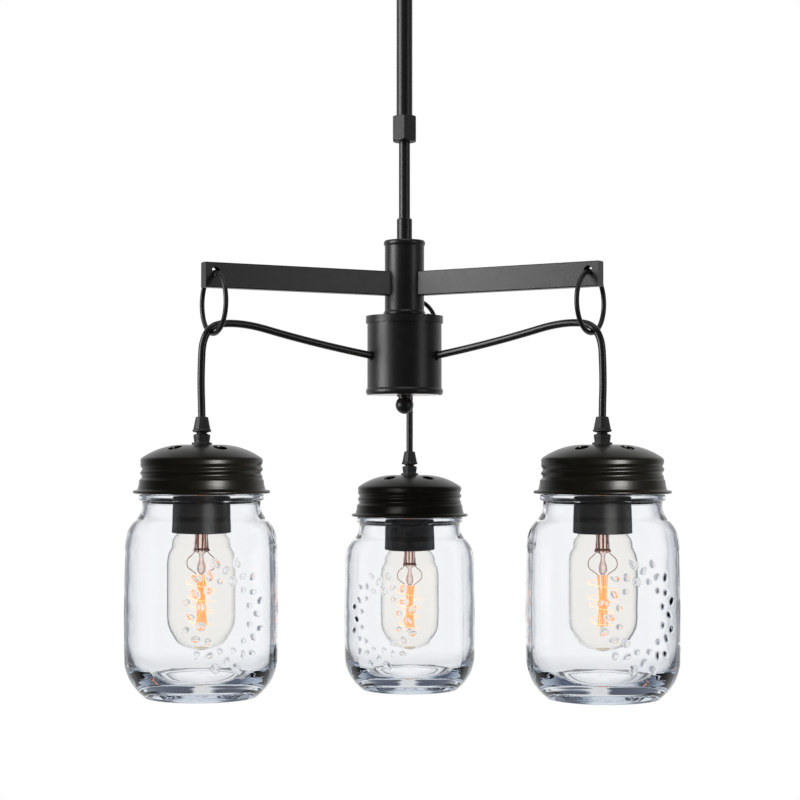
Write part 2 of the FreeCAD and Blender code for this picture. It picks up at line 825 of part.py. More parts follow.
def rounded_path(points, lamp):
    """Join the points by straight runs and tangent arcs and print each arc's radius."""
    edges = []
    here = points[0]
    for before, corner, after in zip(points, points[1:], points[2:]):
        runs = (corner - before, after - corner)
        turn = runs[0].getAngle(runs[1])
        shorter = min(run.Length for run in runs)
        set_back = shorter * SHORT_ARC_SHARE
        radius = set_back / math.tan(turn / 2)
        start = corner - runs[0].normalize() * set_back
        end = corner + runs[1].normalize() * set_back
        bisector = (runs[1] - runs[0]).normalize()
        middle = corner + bisector * (radius / math.cos(turn / 2) - radius)
        edges.append(Part.LineSegment(here, start).toShape())
        edges.append(Part.Arc(start, middle, end).toShape())
        here = end
        print(f"{lamp} cord bends {math.degrees(turn):.1f} degrees on a radius of {radius:.1f} mm")
    edges.append(Part.LineSegment(here, points[-1]).toShape())
    return edges


def sweep_cord(edges):
    """Sweep the cord's round section along a path and check its volume."""
    path = Part.Wire(edges)
    start = edges[0].Vertexes[0].Point
    along = edges[0].tangentAt(edges[0].FirstParameter)
    section = Part.Wire([Part.Circle(start, along, d.cord_radius.value).toShape()])
    tube = path.makePipeShell([section], True, False)
    expected = math.pi * d.cord_radius.value ** 2 * path.Length
    print(f"cord piece {path.Length:.1f} mm long, volume ratio {tube.Volume / expected:.4f}")
    return tube


def split_path(edges, height):
    """Cut the straight run that crosses a height and return the edges on each side."""
    for place_in_path, edge in enumerate(edges):
        start, end = (vertex.Point for vertex in edge.Vertexes)
        straight = edge.Curve.TypeId == "Part::GeomLine"
        if straight and start.z > height > end.z:
            share = (start.z - height) / (start.z - end.z)
            middle = start + (end - start) * share
            upper = edges[:place_in_path] + [Part.LineSegment(start, middle).toShape()]
            lower = [Part.LineSegment(middle, end).toShape()] + edges[place_in_path + 1:]
            return upper, lower
    raise ValueError("no straight run of the cord crosses the split height")


def make_cord(lamp):
    """Make a lamp's cord in two pieces: the run to the ring, and the drop below it."""
    edges = rounded_path(cord_points(lamp), lamp)
    run, drop = split_path(edges, arm_level.value + SPLIT_HEIGHT)
    turn = FreeCAD.Rotation(FreeCAD.Vector(0, 0, 1), heading(lamp).value)
    for name, piece in (("run", run), ("drop", drop)):
        label = f"{lamp}_cord_{name}"
        feature = document.addObject("Part::Feature", label)
        feature.Shape = sweep_cord(piece)
        feature.Placement = FreeCAD.Placement(FreeCAD.Vector(), turn)
        keep(label, feature)


# ---------------------------------------------------------------- lamps

def hang(lamp, label, thing, turn=None):
    """Hang a piece drawn about a lamp's own axis, with the lid's top at zero."""
    way = heading(lamp)
    place(thing, x=d.lamp_reach * cosine(way), y=d.lamp_reach * sine(way), z=lid_level(lamp),
          turn=turn)
    keep(f"{lamp}_{label}", thing)


def make_grip(lamp):
    """Make the cord grip: the body with its hollow shank, and the cone nut above it."""
    cord_bore = d.cord_radius + d.fit_gap * 2
    body = turned_body("grip_body", [
        Corner(d.lead_bore_radius, -d.shank_length), Corner(d.shank_radius, -d.shank_length),
        Corner(d.shank_radius, 0), Corner(d.grip_flange_radius, 0),
        Corner(d.grip_flange_radius, d.grip_flange_height),
        Corner(d.grip_foot_radius, d.grip_flange_height),
        Corner(d.grip_waist_radius, d.grip_waist_height),
        Corner(d.grip_stub_radius, d.grip_waist_height),
        Corner(d.grip_stub_radius, d.grip_stub_height), Corner(cord_bore, d.grip_stub_height),
        Corner(cord_bore, d.cord_seat), Corner(d.lead_bore_radius, d.cord_seat)])
    hang(lamp, "grip_body", body)
    low = d.grip_waist_height + d.grip_seam
    stub_bore = d.grip_stub_radius + d.fit_gap
    roof = d.grip_stub_height + d.fit_gap
    nut = turned_body("grip_nut", [
        Corner(stub_bore, low), Corner(d.grip_collar_radius, low),
        Corner(d.grip_collar_radius, low + d.grip_collar_height),
        Corner(d.grip_shoulder_radius, low + d.grip_collar_height),
        Corner(d.grip_top_radius, d.grip_height), Corner(cord_bore, d.grip_height),
        Corner(cord_bore, roof), Corner(stub_bore, roof)])
    hang(lamp, "grip_nut", nut)


def bulge_bend(chord, bulge):
    """Return the radius of an arc that swells by bulge over its chord."""
    return (chord * chord / 4 + bulge * bulge) / (bulge * 2)


def dome_bend(reach, drop):
    """Return the radius of an arc that starts level and falls by drop over a reach."""
    return (reach * reach + drop * drop) / (drop * 2)


def make_lid(lamp):
    """Make the pressed lid: vented dome, rolled groove and bead, flared skirt, curled rim."""
    wall = d.lid_wall
    reach = d.lid_dome_radius - d.lid_flat_radius
    dome = dome_bend(reach, d.lid_dome_drop)
    upper = -d.lid_upper_groove
    bead_top = upper - d.lid_groove_width
    bead_foot = bead_top - d.lid_bead_height
    lower = bead_foot - d.lid_groove_width
    skirt = d.lid_groove_radius + d.lid_step
    flare = skirt + d.lid_flare
    rim_top = lower - wall - d.lid_skirt_height
    rim_foot = rim_top - d.lid_rim_height
    rim = flare + d.lid_rim_width
    groove_in = d.lid_groove_radius - wall
    body = turned_body("lid", [
        Corner(shank_hole, lid_under), Corner(shank_hole, 0),
        Corner(d.lid_flat_radius, 0, dome, True),
        Corner(d.lid_dome_radius, -d.lid_dome_drop, d.lid_edge_bend, True),
        Corner(d.lid_groove_radius, upper), Corner(d.lid_groove_radius, bead_top, d.lid_bead_bend, True),
        Corner(d.lid_groove_radius, bead_foot), Corner(d.lid_groove_radius, lower),
        Corner(skirt, lower - wall), Corner(flare, rim_top), Corner(rim, rim_top - wall / 2),
        Corner(rim + wall / 2, rim_top - wall), Corner(rim + wall / 2, rim_foot + wall / 2),
        Corner(rim, rim_foot), Corner(flare - wall, rim_foot), Corner(flare - wall, rim_top),
        Corner(skirt - wall, lower - wall * 2), Corner(groove_in, lower - wall),
        Corner(groove_in, -(d.lid_dome_drop + wall)), Corner(groove_in, -d.lid_dome_drop, dome - wall),
        Corner(d.lid_flat_radius, lid_under)])
    vent = new_sketch(body, "XY_Plane")
    draw_circle(vent, d.vent_offset, 0, d.vent_radius)
    cut = cut_through(body, vent)
    document.recompute()
    repeat_round(body, cut, d.vent_count)
    hang(lamp, "lid", body, turn=Size.of(90) / d.vent_count)


def make_socket(lamp):
    """Make the metal cup under the lid and the insulating lamp holder inside it."""
    top = lid_under - d.cup_drop
    inner_top = d.cup_top_radius - d.cup_wall
    inner_foot = d.cup_foot_radius - d.cup_wall
    hang(lamp, "socket_cup", turned_body("socket_cup", [
        Corner(shank_hole, top), Corner(shank_hole, top - d.cup_wall),
        Corner(inner_top, top - d.cup_wall), Corner(inner_foot, -d.cup_depth),
        Corner(d.cup_foot_radius, -d.cup_depth), Corner(d.cup_top_radius, top)]))
    bore = d.base_radius + d.fit_gap * 2
    hub_foot = -(d.socket_drop + d.socket_hub)
    hang(lamp, "lamp_holder", turned_body("lamp_holder", [
        Corner(shank_hole, -d.socket_drop), Corner(shank_hole, hub_foot), Corner(0, hub_foot),
        Corner(0, -d.socket_seat_depth), Corner(bore, -d.socket_seat_depth),
        Corner(bore, -d.socket_depth), Corner(d.socket_radius, -d.socket_depth),
        Corner(d.socket_radius, -d.socket_drop)]))


def make_bulb(lamp):
    """Make the bulb: screw base, glass envelope and the glass stem inside it."""
    tip_top = -(d.socket_seat_depth + d.fit_gap)
    shell_top = tip_top - d.base_tip_height
    shell_foot = shell_top - d.base_height
    inner = d.base_radius - d.base_wall
    shoulder = d.base_radius - d.base_shoulder
    hang(lamp, "bulb_base", turned_body("bulb_base", [
        Corner(0, tip_top), Corner(0, shell_top - d.base_shoulder - d.base_wall),
        Corner(inner, shell_top - d.base_shoulder - d.base_wall), Corner(inner, shell_foot),
        Corner(d.base_radius, shell_foot), Corner(d.base_radius, shell_top - d.base_shoulder),
        Corner(shoulder, shell_top), Corner(d.base_tip_radius, shell_top),
        Corner(d.base_tip_radius, tip_top)]))
    wall = d.bulb_wall
    throat = inner - d.fit_gap
    side_foot = -(d.bulb_depth - d.bulb_radius)
    bend = d.bulb_shoulder_bend
    hang(lamp, "bulb_glass", turned_body("bulb_glass", [
        Corner(throat - wall, -d.bulb_throat_drop), Corner(throat - wall, -d.bulb_shoulder_top, bend, False),
        Corner(d.bulb_radius - wall, -d.bulb_shoulder_foot), Corner(d.bulb_radius - wall, side_foot,
                                                                    d.bulb_radius - wall, True),
        Corner(0, -(d.bulb_depth - wall)), Corner(0, -d.bulb_depth, d.bulb_radius),
        Corner(d.bulb_radius, side_foot), Corner(d.bulb_radius, -d.bulb_shoulder_foot, bend, True),
        Corner(throat, -d.bulb_shoulder_top), Corner(throat, -d.bulb_throat_drop)]))
    flare = throat - wall - d.fit_gap
    flare_top = -(d.bulb_throat_drop + d.bulb_wall)
    hang(lamp, "bulb_stem", turned_body("bulb_stem", [
        Corner(0, flare_top), Corner(0, -d.stem_foot_depth), Corner(d.stem_rod_radius, -d.stem_foot_depth),
        Corner(d.stem_rod_radius, -d.stem_press_depth), Corner(d.stem_tube_radius, -d.stem_press_depth),
        Corner(d.stem_tube_radius, flare_top - wall * 2), Corner(flare, flare_top - wall),
        Corner(flare, flare_top)]))


def make_jar(lamp):
    """Make the sealing gasket and the glass jar below it."""
    gasket_foot = -(d.gasket_drop + d.gasket_thick)
    hang(lamp, "gasket", turned_body("gasket", ring_section(
        d.gasket_inner_radius, d.jar_neck_radius, gasket_foot, -d.gasket_drop)))
    wall = d.jar_wall
    rim = gasket_foot - d.jar_seat_gap
    ring_top = -d.jar_ring_drop
    ring_foot = ring_top - d.jar_ring_height
    hollow_top = ring_foot - d.jar_throat_height
    hollow_foot = hollow_top - d.jar_hollow_height
    shoulder = d.jar_throat_radius + d.jar_hollow_width
    side_top = hollow_foot - d.jar_shoulder_height
    belly = d.jar_side_radius + d.jar_belly
    heel_top = -(d.jar_depth - d.jar_heel_height)
    foot = -d.jar_depth
    bearing = d.jar_foot_radius - d.jar_foot_width
    floor = foot + d.jar_floor
    neck_in = d.jar_neck_radius - d.jar_neck_wall
    hang(lamp, "jar", turned_body("jar", [
        Corner(d.jar_neck_radius, rim), Corner(neck_in, rim), Corner(neck_in, ring_foot),
        Corner(d.jar_throat_radius - wall, hollow_top, d.jar_hollow_bend, False),
        Corner(shoulder - wall, hollow_foot, d.jar_shoulder_bend - wall, True),
        Corner(d.jar_side_radius - wall, side_top), Corner(belly - wall, -d.jar_belly_depth),
        Corner(d.jar_side_radius - wall, heel_top, d.jar_heel_bend - wall, True),
        Corner(d.jar_foot_radius - wall, floor), Corner(0, floor), Corner(0, foot + d.jar_push_up),
        Corner(bearing - d.jar_push_up, foot + d.jar_push_up), Corner(bearing, foot),
        Corner(d.jar_foot_radius, foot, d.jar_heel_bend), Corner(d.jar_side_radius, heel_top),
        Corner(belly, -d.jar_belly_depth), Corner(d.jar_side_radius, side_top, d.jar_shoulder_bend),
        Corner(shoulder, hollow_foot, d.jar_hollow_bend, True),
        Corner(d.jar_throat_radius, hollow_top), Corner(d.jar_throat_radius, ring_foot),
        Corner(d.jar_ring_radius, ring_foot), Corner(d.jar_ring_radius, ring_top),
        Corner(d.jar_neck_radius, ring_top)]))


# ---------------------------------------------------------------- whole light

def build():
    """Draw every piece of the light."""
    make_crossbar()
    make_canopy()
    make_canopy_fastenings()
    make_tube_nut()
    make_outer_tube()
    make_lock_nut()
    make_collet()
    make_inner_tube()
    make_coupling()
    make_stem_rod()
    make_column()
    make_housing_shell()
    make_housing_cap()
    make_housing_cover()
    make_housing_screw()
    make_cord_bushings()
    make_finial()
    for lamp in LAMPS:
        make_arm(lamp)
        make_ring(lamp)
        make_cord(lamp)
        make_grip(lamp)
        make_lid(lamp)
        make_socket(lamp)
        make_bulb(lamp)
        make_jar(lamp)
    document.recompute()


def check():
    """Refuse a document with a failed object or a broken shape."""
    for thing in document.Objects:
        if {"Invalid", "Error"} & set(thing.State):
            raise RuntimeError(f"{thing.Name} ({thing.Label}) failed: {thing.State}")
    for label, thing in nodes.items():
        if thing.Shape.isNull() or not thing.Shape.isValid():
            raise RuntimeError(f"{label} has no valid shape")


def export():
    """Write each piece to its own file."""
    os.makedirs("parts", exist_ok=True)
    for label, thing in nodes.items():
        thing.Shape.exportStep(f"parts/{label}.step")


build()
check()
export()
print(len(nodes), "pieces written")
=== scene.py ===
"""Dresses the three-arm jar pendant: studio, cords, ironwork, jars, lids and glowing bulbs."""
import json
import logging
import math
from dataclasses import dataclass, field
from enum import Enum

import bpy
import numpy as np
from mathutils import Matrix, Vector

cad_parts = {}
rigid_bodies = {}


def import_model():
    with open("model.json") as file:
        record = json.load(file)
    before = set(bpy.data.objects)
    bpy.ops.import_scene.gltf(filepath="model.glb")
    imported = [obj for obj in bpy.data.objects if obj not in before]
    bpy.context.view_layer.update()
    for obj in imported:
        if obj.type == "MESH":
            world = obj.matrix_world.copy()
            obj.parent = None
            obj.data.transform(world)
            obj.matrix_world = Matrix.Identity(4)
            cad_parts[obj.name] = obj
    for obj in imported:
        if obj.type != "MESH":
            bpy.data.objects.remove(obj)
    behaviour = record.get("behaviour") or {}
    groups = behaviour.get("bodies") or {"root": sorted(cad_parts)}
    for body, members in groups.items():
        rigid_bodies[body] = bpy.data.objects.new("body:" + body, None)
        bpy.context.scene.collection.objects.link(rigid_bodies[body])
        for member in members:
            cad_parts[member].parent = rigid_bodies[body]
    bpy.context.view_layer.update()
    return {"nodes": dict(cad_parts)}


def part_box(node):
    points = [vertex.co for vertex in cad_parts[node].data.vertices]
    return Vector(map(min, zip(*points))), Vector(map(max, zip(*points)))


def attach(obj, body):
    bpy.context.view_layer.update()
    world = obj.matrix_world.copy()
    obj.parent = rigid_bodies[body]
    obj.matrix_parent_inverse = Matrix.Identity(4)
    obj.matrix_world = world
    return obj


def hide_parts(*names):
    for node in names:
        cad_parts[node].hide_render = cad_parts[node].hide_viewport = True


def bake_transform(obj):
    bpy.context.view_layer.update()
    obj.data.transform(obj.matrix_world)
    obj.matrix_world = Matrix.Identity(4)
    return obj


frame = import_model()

MM = 0.001
WELD = 0.002 * MM                    # points nearer than this become one
TURNED_CREASE = math.radians(38)     # sharper edges stay sharp
WIRE_CREASE = math.radians(50)
FRAME_PIXELS = 800.0
FOCAL_PIXELS = 1900.0
SENSOR = 36.0                        # millimetres across
LAMPS = ("back", "left", "right")
log = logging.getLogger("jar_pendant")

Piece = bpy.types.Object
Colour = tuple[float, float, float]
Point = tuple[float, float]


# ---- shader maths

class Signal:
    """An output of a shader node, with arithmetic that adds Math nodes."""

    def __init__(self, graph: "Graph", socket: bpy.types.NodeSocket) -> None:
        """Wrap one output socket of a graph."""
        self.graph = graph
        self.socket = socket

    def math(self, operation: str, *others: "Signal | float") -> "Signal":
        """Add a Math node.

        Args:
            operation: the node's operation.
            others: the inputs after this signal, which is the first.

        Returns:
            The node's result.
        """
        inputs = dict(enumerate((self, *others)))
        return self.graph.node("ShaderNodeMath", {"operation": operation}, inputs)

    def __add__(self, other: "Signal | float") -> "Signal":
        """Return the sum."""
        return self.math("ADD", other)

    def __sub__(self, other: "Signal | float") -> "Signal":
        """Return the difference."""
        return self.math("SUBTRACT", other)

    def __mul__(self, other: "Signal | float") -> "Signal":
        """Return the product."""
        return self.math("MULTIPLY", other)

    def __truediv__(self, other: "Signal | float") -> "Signal":
        """Return the quotient."""
        return self.math("DIVIDE", other)

    def __rsub__(self, other: float) -> "Signal":
        """Return a number less this signal."""
        return self * -1.0 + other

    __radd__ = __add__
    __rmul__ = __mul__


class Graph:
    """The node tree of one material or of the world."""

    def __init__(self, tree: bpy.types.NodeTree) -> None:
        """Empty a node tree and keep it."""
        self.tree = tree
        tree.nodes.clear()

    def node(self, kind: str, settings: dict | None = None, inputs: dict | None = None,
             output: int | str = 0) -> Signal:
        """Add a node.

        Args:
            kind: the node's type.
            settings: the node's own settings, and a ramp's stops under "stops".
            inputs: values or signals by socket name or number.
            output: the socket that is returned.

        Returns:
            The chosen output, or the node's first input where it has no output.
        """
        made = self.tree.nodes.new(kind)
        for name, value in (settings or {}).items():
            if name == "stops":
                self._set_stops(made.color_ramp, value)
            else:
                setattr(made, name, value)
        for name, value in (inputs or {}).items():
            socket = made.inputs[name]
            if isinstance(value, Signal):
                self.tree.links.new(value.socket, socket)
            else:
                socket.default_value = value
        sockets = made.outputs if len(made.outputs) else made.inputs
        return Signal(self, sockets[output])

    @staticmethod
    def _set_stops(ramp: bpy.types.ColorRamp, stops: list) -> None:
        """Give a colour ramp its stops, each a place and a grey or a colour."""
        while len(ramp.elements) < len(stops):
            ramp.elements.new(1.0)
        for element, (place, colour) in zip(ramp.elements, stops):
            element.position = place
            element.color = rgba(colour)

    def place(self) -> Signal:
        """Return the object coordinates."""
        return self.node("ShaderNodeTexCoord", output="Object")

    def ray(self, fact: str) -> Signal:
        """Return one fact about the ray that meets the surface, such as Is Camera Ray."""
        return self.node("ShaderNodeLightPath", output=fact)

    def ramp(self, share: Signal, stops: list) -> Signal:
        """Return the colour that a ramp gives at a place from 0 to 1."""
        return self.node("ShaderNodeValToRGB", {"stops": stops}, {0: share})

    def noise(self, size: float, detail: float = 2.0, where: Signal | None = None) -> Signal:
        """Return noise from 0 to 1 whose features are about size metres wide."""
        inputs = {"Vector": where or self.place(), "Scale": 1.0 / size, "Detail": detail}
        return self.node("ShaderNodeTexNoise", {}, inputs)

    def blend(self, share: Signal, first: "Signal | tuple",
              second: "Signal | float | tuple") -> Signal:
        """Return a colour between two colours."""
        inputs = {0: share, 6: rgba(first), 7: rgba(second)}
        return self.node("ShaderNodeMix", {"data_type": "RGBA"}, inputs, output=2)

    def bump(self, height: Signal, depth: float = 1.0) -> Signal:
        """Return normals for a height field, whose unit is depth metres."""
        inputs = {"Strength": 1.0, "Distance": depth, "Height": height}
        return self.node("ShaderNodeBump", {}, inputs)

    def principled(self, **sockets: "Signal | float | tuple") -> Signal:
        """Return a Principled shader; underscores in the names stand for spaces."""
        inputs = {key.replace("_", " "): value for key, value in sockets.items()}
        return self.node("ShaderNodeBsdfPrincipled", {}, inputs)

    def finish(self, surface: Signal, volume: Signal | None = None) -> None:
        """Join a shader to the material's output."""
        inputs = {"Surface": surface}
        if volume is not None:
            inputs["Volume"] = volume
        self.node("ShaderNodeOutputMaterial", {}, inputs)


def rgba(colour: "Signal | float | tuple") -> "Signal | tuple":
    """Return a colour with its alpha; a number is a grey."""
    if isinstance(colour, Signal):
        return colour
    if isinstance(colour, (int, float)):
        return (colour, colour, colour, 1.0)
    return (*colour[:3], 1.0)


def new_material(name: str) -> tuple[bpy.types.Material, Graph]:
    """Start an empty material and return it with its graph."""
    material = bpy.data.materials.new(name)
    material.use_nodes = True
    return material, Graph(material.node_tree)


# ---- finishes

@dataclass(frozen=True)
class Coating:
    """An opaque finish; its grain and its ripple each have a size and a depth in millimetres."""

    name: str
    dark: Colour
    light: Colour
    roughness: float
    roughness_spread: float = 0.08
    metallic: float = 0.0
    grain: Point = (0.6, 0.01)
    ripple: Point = (9.0, 0.0)
    coat: float = 0.0
    coat_roughness: float = 0.2

    def make(self) -> bpy.types.Material:
        """Build the material: mottled colour and gloss over a fine grain and a broad ripple."""
        material, graph = new_material(self.name)
        where = graph.place()
        mottle = graph.noise(self.ripple[0] * MM, 3.0, where)
        grain = graph.noise(self.grain[0] * MM, 2.0, where)
        height = grain * (self.grain[1] * MM) + mottle * (self.ripple[1] * MM)
        shade = graph.principled(
            Base_Color=graph.blend(mottle, self.dark, self.light),
            Roughness=self.roughness + (mottle + grain - 1.0) * self.roughness_spread,
            Metallic=self.metallic, Coat_Weight=self.coat, Coat_Roughness=self.coat_roughness,
            Normal=graph.bump(height))
        graph.finish(shade)
        return material


@dataclass(frozen=True)
class Glass:
    """A clear finish with tinted depth, waves of a size and a depth in millimetres, and a darker
    tint painted on the bead slopes as refraction shade.
    """

    name: str
    tint: Colour
    waves: Point
    ior: float = 1.45
    roughness: float = 0.0
    # a darker colour painted on the bead slopes as refraction shade
    bead_shade_tint: Colour | None = None
    depth_tint: Colour | None = None
    depth_density: float = 0.0

    def make(self) -> bpy.types.Material:
        """Build the material; light and shade pass through it without a dark shadow."""
        material, graph = new_material(self.name)
        size, depth = self.waves
        tint: Signal | tuple = rgba(self.tint)
        if self.bead_shade_tint is not None:
            # Painted refraction shade: the 'pressed' attribute turns the colour darker on the bead
            # slopes.
            pressed = graph.node("ShaderNodeAttribute", {"attribute_name": "pressed"}, output="Fac")
            tint = graph.blend(pressed, self.tint, self.bead_shade_tint)
        clear = graph.principled(
            Base_Color=tint, Roughness=self.roughness, IOR=self.ior, Transmission_Weight=1.0,
            Normal=graph.bump(graph.noise(size * MM, 1.5), depth * MM))
        through = graph.node("ShaderNodeBsdfTransparent", {}, {"Color": rgba(self.tint)})
        soft = graph.ray("Is Shadow Ray").math("MAXIMUM", graph.ray("Is Diffuse Ray"))
        mixed = graph.node("ShaderNodeMixShader", {}, {0: soft, 1: clear, 2: through})
        volume = None
        if self.depth_tint is not None:
            volume = graph.node("ShaderNodeVolumeAbsorption", {},
                                {"Color": rgba(self.depth_tint), "Density": self.depth_density})
        graph.finish(mixed, volume)
        return material


@dataclass(frozen=True)
class Glow:
    """A glowing wire with brighter and cooler beads along it, beads millimetres long: the hot
    filament, or support loops whose glow is a painted glint.
    """

    name: str
    hot: Colour
    cool: Colour
    strength: float
    beads: float = 2.2

    def make(self) -> bpy.types.Material:
        """Build the material."""
        material, graph = new_material(self.name)
        beads = graph.noise(self.beads * MM, 1.0)
        graph.finish(graph.principled(
            Base_Color=rgba(self.cool), Roughness=0.5, Emission_Strength=self.strength,
            Emission_Color=graph.blend(beads, self.cool, self.hot)))
        return material


class Finish(Enum):
    """The finishes of the light."""

    PAINT = Coating("satin_black_paint", (0.0035, 0.0035, 0.004), (0.0065, 0.0065, 0.007), 0.36,
                    grain=(0.9, 0.03), ripple=(6, 0.02))
    NUT = Coating("blackened_nut", (0.003, 0.003, 0.0035), (0.0055, 0.0055, 0.006), 0.52,
                  grain=(0.6, 0.02), ripple=(5, 0.02))
    BRONZE = Coating("olive_black_bronze", (0.0045, 0.004, 0.002), (0.0085, 0.0075, 0.004), 0.30,
                     metallic=0.35, grain=(0.5, 0.01), ripple=(12, 0.03))
    CORD = Coating("cord_jacket", (0.005, 0.005, 0.005), (0.010, 0.008, 0.008), 0.28,
                   grain=(0.9, 0.004), ripple=(8, 0.02))
    GRIP = Coating("textured_grip_plastic", (0.007, 0.007, 0.008), (0.013, 0.013, 0.014), 0.50,
                   grain=(0.55, 0.09), ripple=(3, 0.03))
    # A glossy beige-brown colour for the underside cover.
    COVER = Coating("brown_lacquer", (0.20, 0.13, 0.08), (0.34, 0.25, 0.17), 0.22,
                    metallic=0.4, ripple=(10, 0.03), coat=0.5)
    ZINC = Coating("zinc_plated_steel", (0.42, 0.42, 0.40), (0.62, 0.62, 0.58), 0.36,
                   metallic=1.0, grain=(0.8, 0.01))
    NICKEL = Coating("nickel_plated_base", (0.50, 0.46, 0.38), (0.66, 0.62, 0.54), 0.28,
                     metallic=1.0, grain=(0.8, 0.008))
    CERAMIC = Coating("lamp_holder_ceramic", (0.68, 0.66, 0.61), (0.80, 0.78, 0.73), 0.62,
                      grain=(0.4, 0.02))
    RUBBER = Coating("gasket_rubber", (0.03, 0.03, 0.03), (0.06, 0.06, 0.06), 0.7,
                     grain=(0.5, 0.02))
    LEAD = Coating("copper_lead_wire", (0.45, 0.16, 0.10), (0.62, 0.26, 0.16), 0.35,
                   metallic=0.8, grain=(0.4, 0.004))
    # An amber colour on a disc at the bulb's tip: a painted reflection of the filament's glow.
    TIP = Coating("amber_seal", (0.62, 0.48, 0.22), (0.78, 0.62, 0.32), 0.3, grain=(0.4, 0.01))
    # The jar's darker bead tint is painted refraction shade on the slopes of its beads.
    JAR = Glass("pressed_jar_glass", (0.985, 0.99, 0.995), (16, 0.14), ior=1.47,
                bead_shade_tint=(0.36, 0.39, 0.44), depth_tint=(0.52, 0.62, 0.74),
                depth_density=10.0)
    BULB = Glass("bulb_glass", (0.995, 0.98, 0.955), (30, 0.05), ior=1.20)
    STEM = Glass("stem_glass", (0.93, 0.80, 0.76), (5, 0.1))
    FILAMENT = Glow("hot_filament", (1.0, 0.44, 0.16), (0.84, 0.21, 0.05), 1.15)
    # The loops are support wires: their glow is a painted glint of the filament's light.
    LOOPS = Glow("warm_filament_loops", (1.0, 0.74, 0.50), (1.0, 0.52, 0.25), 1.0)


MATERIALS: dict[Finish, bpy.types.Material] = {}


def dress(piece: Piece, finish: Finish) -> None:
    """Give a piece or a node its finish."""
    if finish not in MATERIALS:
        MATERIALS[finish] = finish.value.make()
    piece.data.materials.clear()
    piece.data.materials.append(MATERIALS[finish])


# ---- bench tools

def select_only(*pieces: Piece) -> None:
    """Select these pieces alone and make the first one active."""
    if bpy.context.mode != "OBJECT":
        bpy.ops.object.mode_set(mode="OBJECT")
    bpy.ops.object.select_all(action="DESELECT")
    for piece in pieces:
        piece.select_set(True)
    bpy.context.view_layer.objects.active = pieces[0]


def settle(piece: Piece) -> None:
    """Put the piece's place into its mesh."""
    select_only(piece)
    bpy.ops.object.transform_apply(location=True, rotation=True, scale=True)


def arc(start: Point, end: Point, bend: float, steps: int) -> list[Point]:
    """Sample an arc from one point to another, leaving out its last point.

    Args:
        start: radius and height where it starts.
        end: radius and height where it ends.
        bend: its radius; negative turns it clockwise.
        steps: how many points are returned.

    Returns:
        The points, the start included.
    """
    along = Vector((end[0] - start[0], end[1] - start[1]))
    rise = math.sqrt(max(bend * bend - along.length_squared / 4, 0.0))
    left = Vector((-along.y, along.x)).normalized() * math.copysign(rise, bend)
    centre = Vector(start) + along / 2 + left
    first = Vector(start) - centre
    last = Vector(end) - centre
    turn = math.atan2(first.cross(last), first.dot(last))
    points = []
    for step in range(steps):
        angle = turn * step / steps
        cosine, sine = math.cos(angle), math.sin(angle)
        points.append((centre.x + first.x * cosine - first.y * sine,
                       centre.y + first.x * sine + first.y * cosine))
    return points


def outline(corners: list[tuple], spacing: float) -> list[Point]:
    """Sample an outline whose corners may carry a bend.

    Args:
        corners: radius, height and optionally the bend of the arc to the next corner.
        spacing: about how far apart the points lie.

    Returns:
        The sampled points in the corners' unit.
    """
    points: list[Point] = []
    for corner, after in zip(corners, corners[1:]):
        start, end = corner[:2], after[:2]
        steps = max(1, round(math.dist(start, end) / spacing))
        if len(corner) > 2:
            points += arc(start, end, corner[2], max(steps, 3))
        else:
            points += [(start[0] + (end[0] - start[0]) * i / steps,
                        start[1] + (end[1] - start[1]) * i / steps) for i in range(steps)]
    points.append(tuple(corners[-1][:2]))
    return points


def turn(name: str, points: list[Point], segments: int = 96, closed: bool = False) -> Piece:
    """Turn an outline about the upright axis through the origin, as on a lathe.

    Args:
        name: the piece's name.
        points: radius and height in millimetres.
        segments: how many steps the turn takes.
        closed: whether the outline's end joins its start.

    Returns:
        The piece, with its faces outwards.
    """
    if closed:
        points = points + points[:1]
    bpy.ops.object.select_all(action="DESELECT")
    bpy.ops.mesh.primitive_plane_add(size=MM, location=(0, 0, 0))
    piece = bpy.context.object
    piece.name = name
    bpy.ops.object.mode_set(mode="EDIT")
    bpy.ops.mesh.select_all(action="SELECT")
    bpy.ops.mesh.merge(type="CENTER")
    bpy.ops.transform.translate(value=(points[0][0] * MM, 0, points[0][1] * MM))
    for before, here in zip(points, points[1:]):
        step = ((here[0] - before[0]) * MM, 0, (here[1] - before[1]) * MM)
        bpy.ops.mesh.extrude_region_move(TRANSFORM_OT_translate={"value": step})
    bpy.ops.object.mode_set(mode="OBJECT")
    select_only(piece)
    lathe = piece.modifiers.new("lathe", "SCREW")
    lathe.steps = segments
    lathe.render_steps = segments
    lathe.use_merge_vertices = True
    lathe.merge_threshold = WELD
    bpy.ops.object.modifier_apply(modifier=lathe.name)
    bpy.ops.object.mode_set(mode="EDIT")
    bpy.ops.mesh.select_all(action="SELECT")
    bpy.ops.mesh.remove_doubles(threshold=WELD)
    bpy.ops.mesh.delete_loose()
    bpy.ops.mesh.select_all(action="SELECT")
    bpy.ops.mesh.normals_make_consistent(inside=False)
    bpy.ops.object.mode_set(mode="OBJECT")
    bpy.ops.object.shade_smooth_by_angle(angle=TURNED_CREASE)
    return piece


def smooth_curve(name: str, points: list[Vector]) -> bpy.types.Curve:
    """Make a smooth open curve from its control points."""
    curve = bpy.data.curves.new(name, "CURVE")
    curve.dimensions = "3D"
    curve.resolution_u = 12
    spline = curve.splines.new("NURBS")
    spline.points.add(len(points) - 1)
    for slot, point in zip(spline.points, points):
        slot.co = (*point, 1.0)
    spline.order_u = 3
    spline.use_endpoint_u = True
    return curve


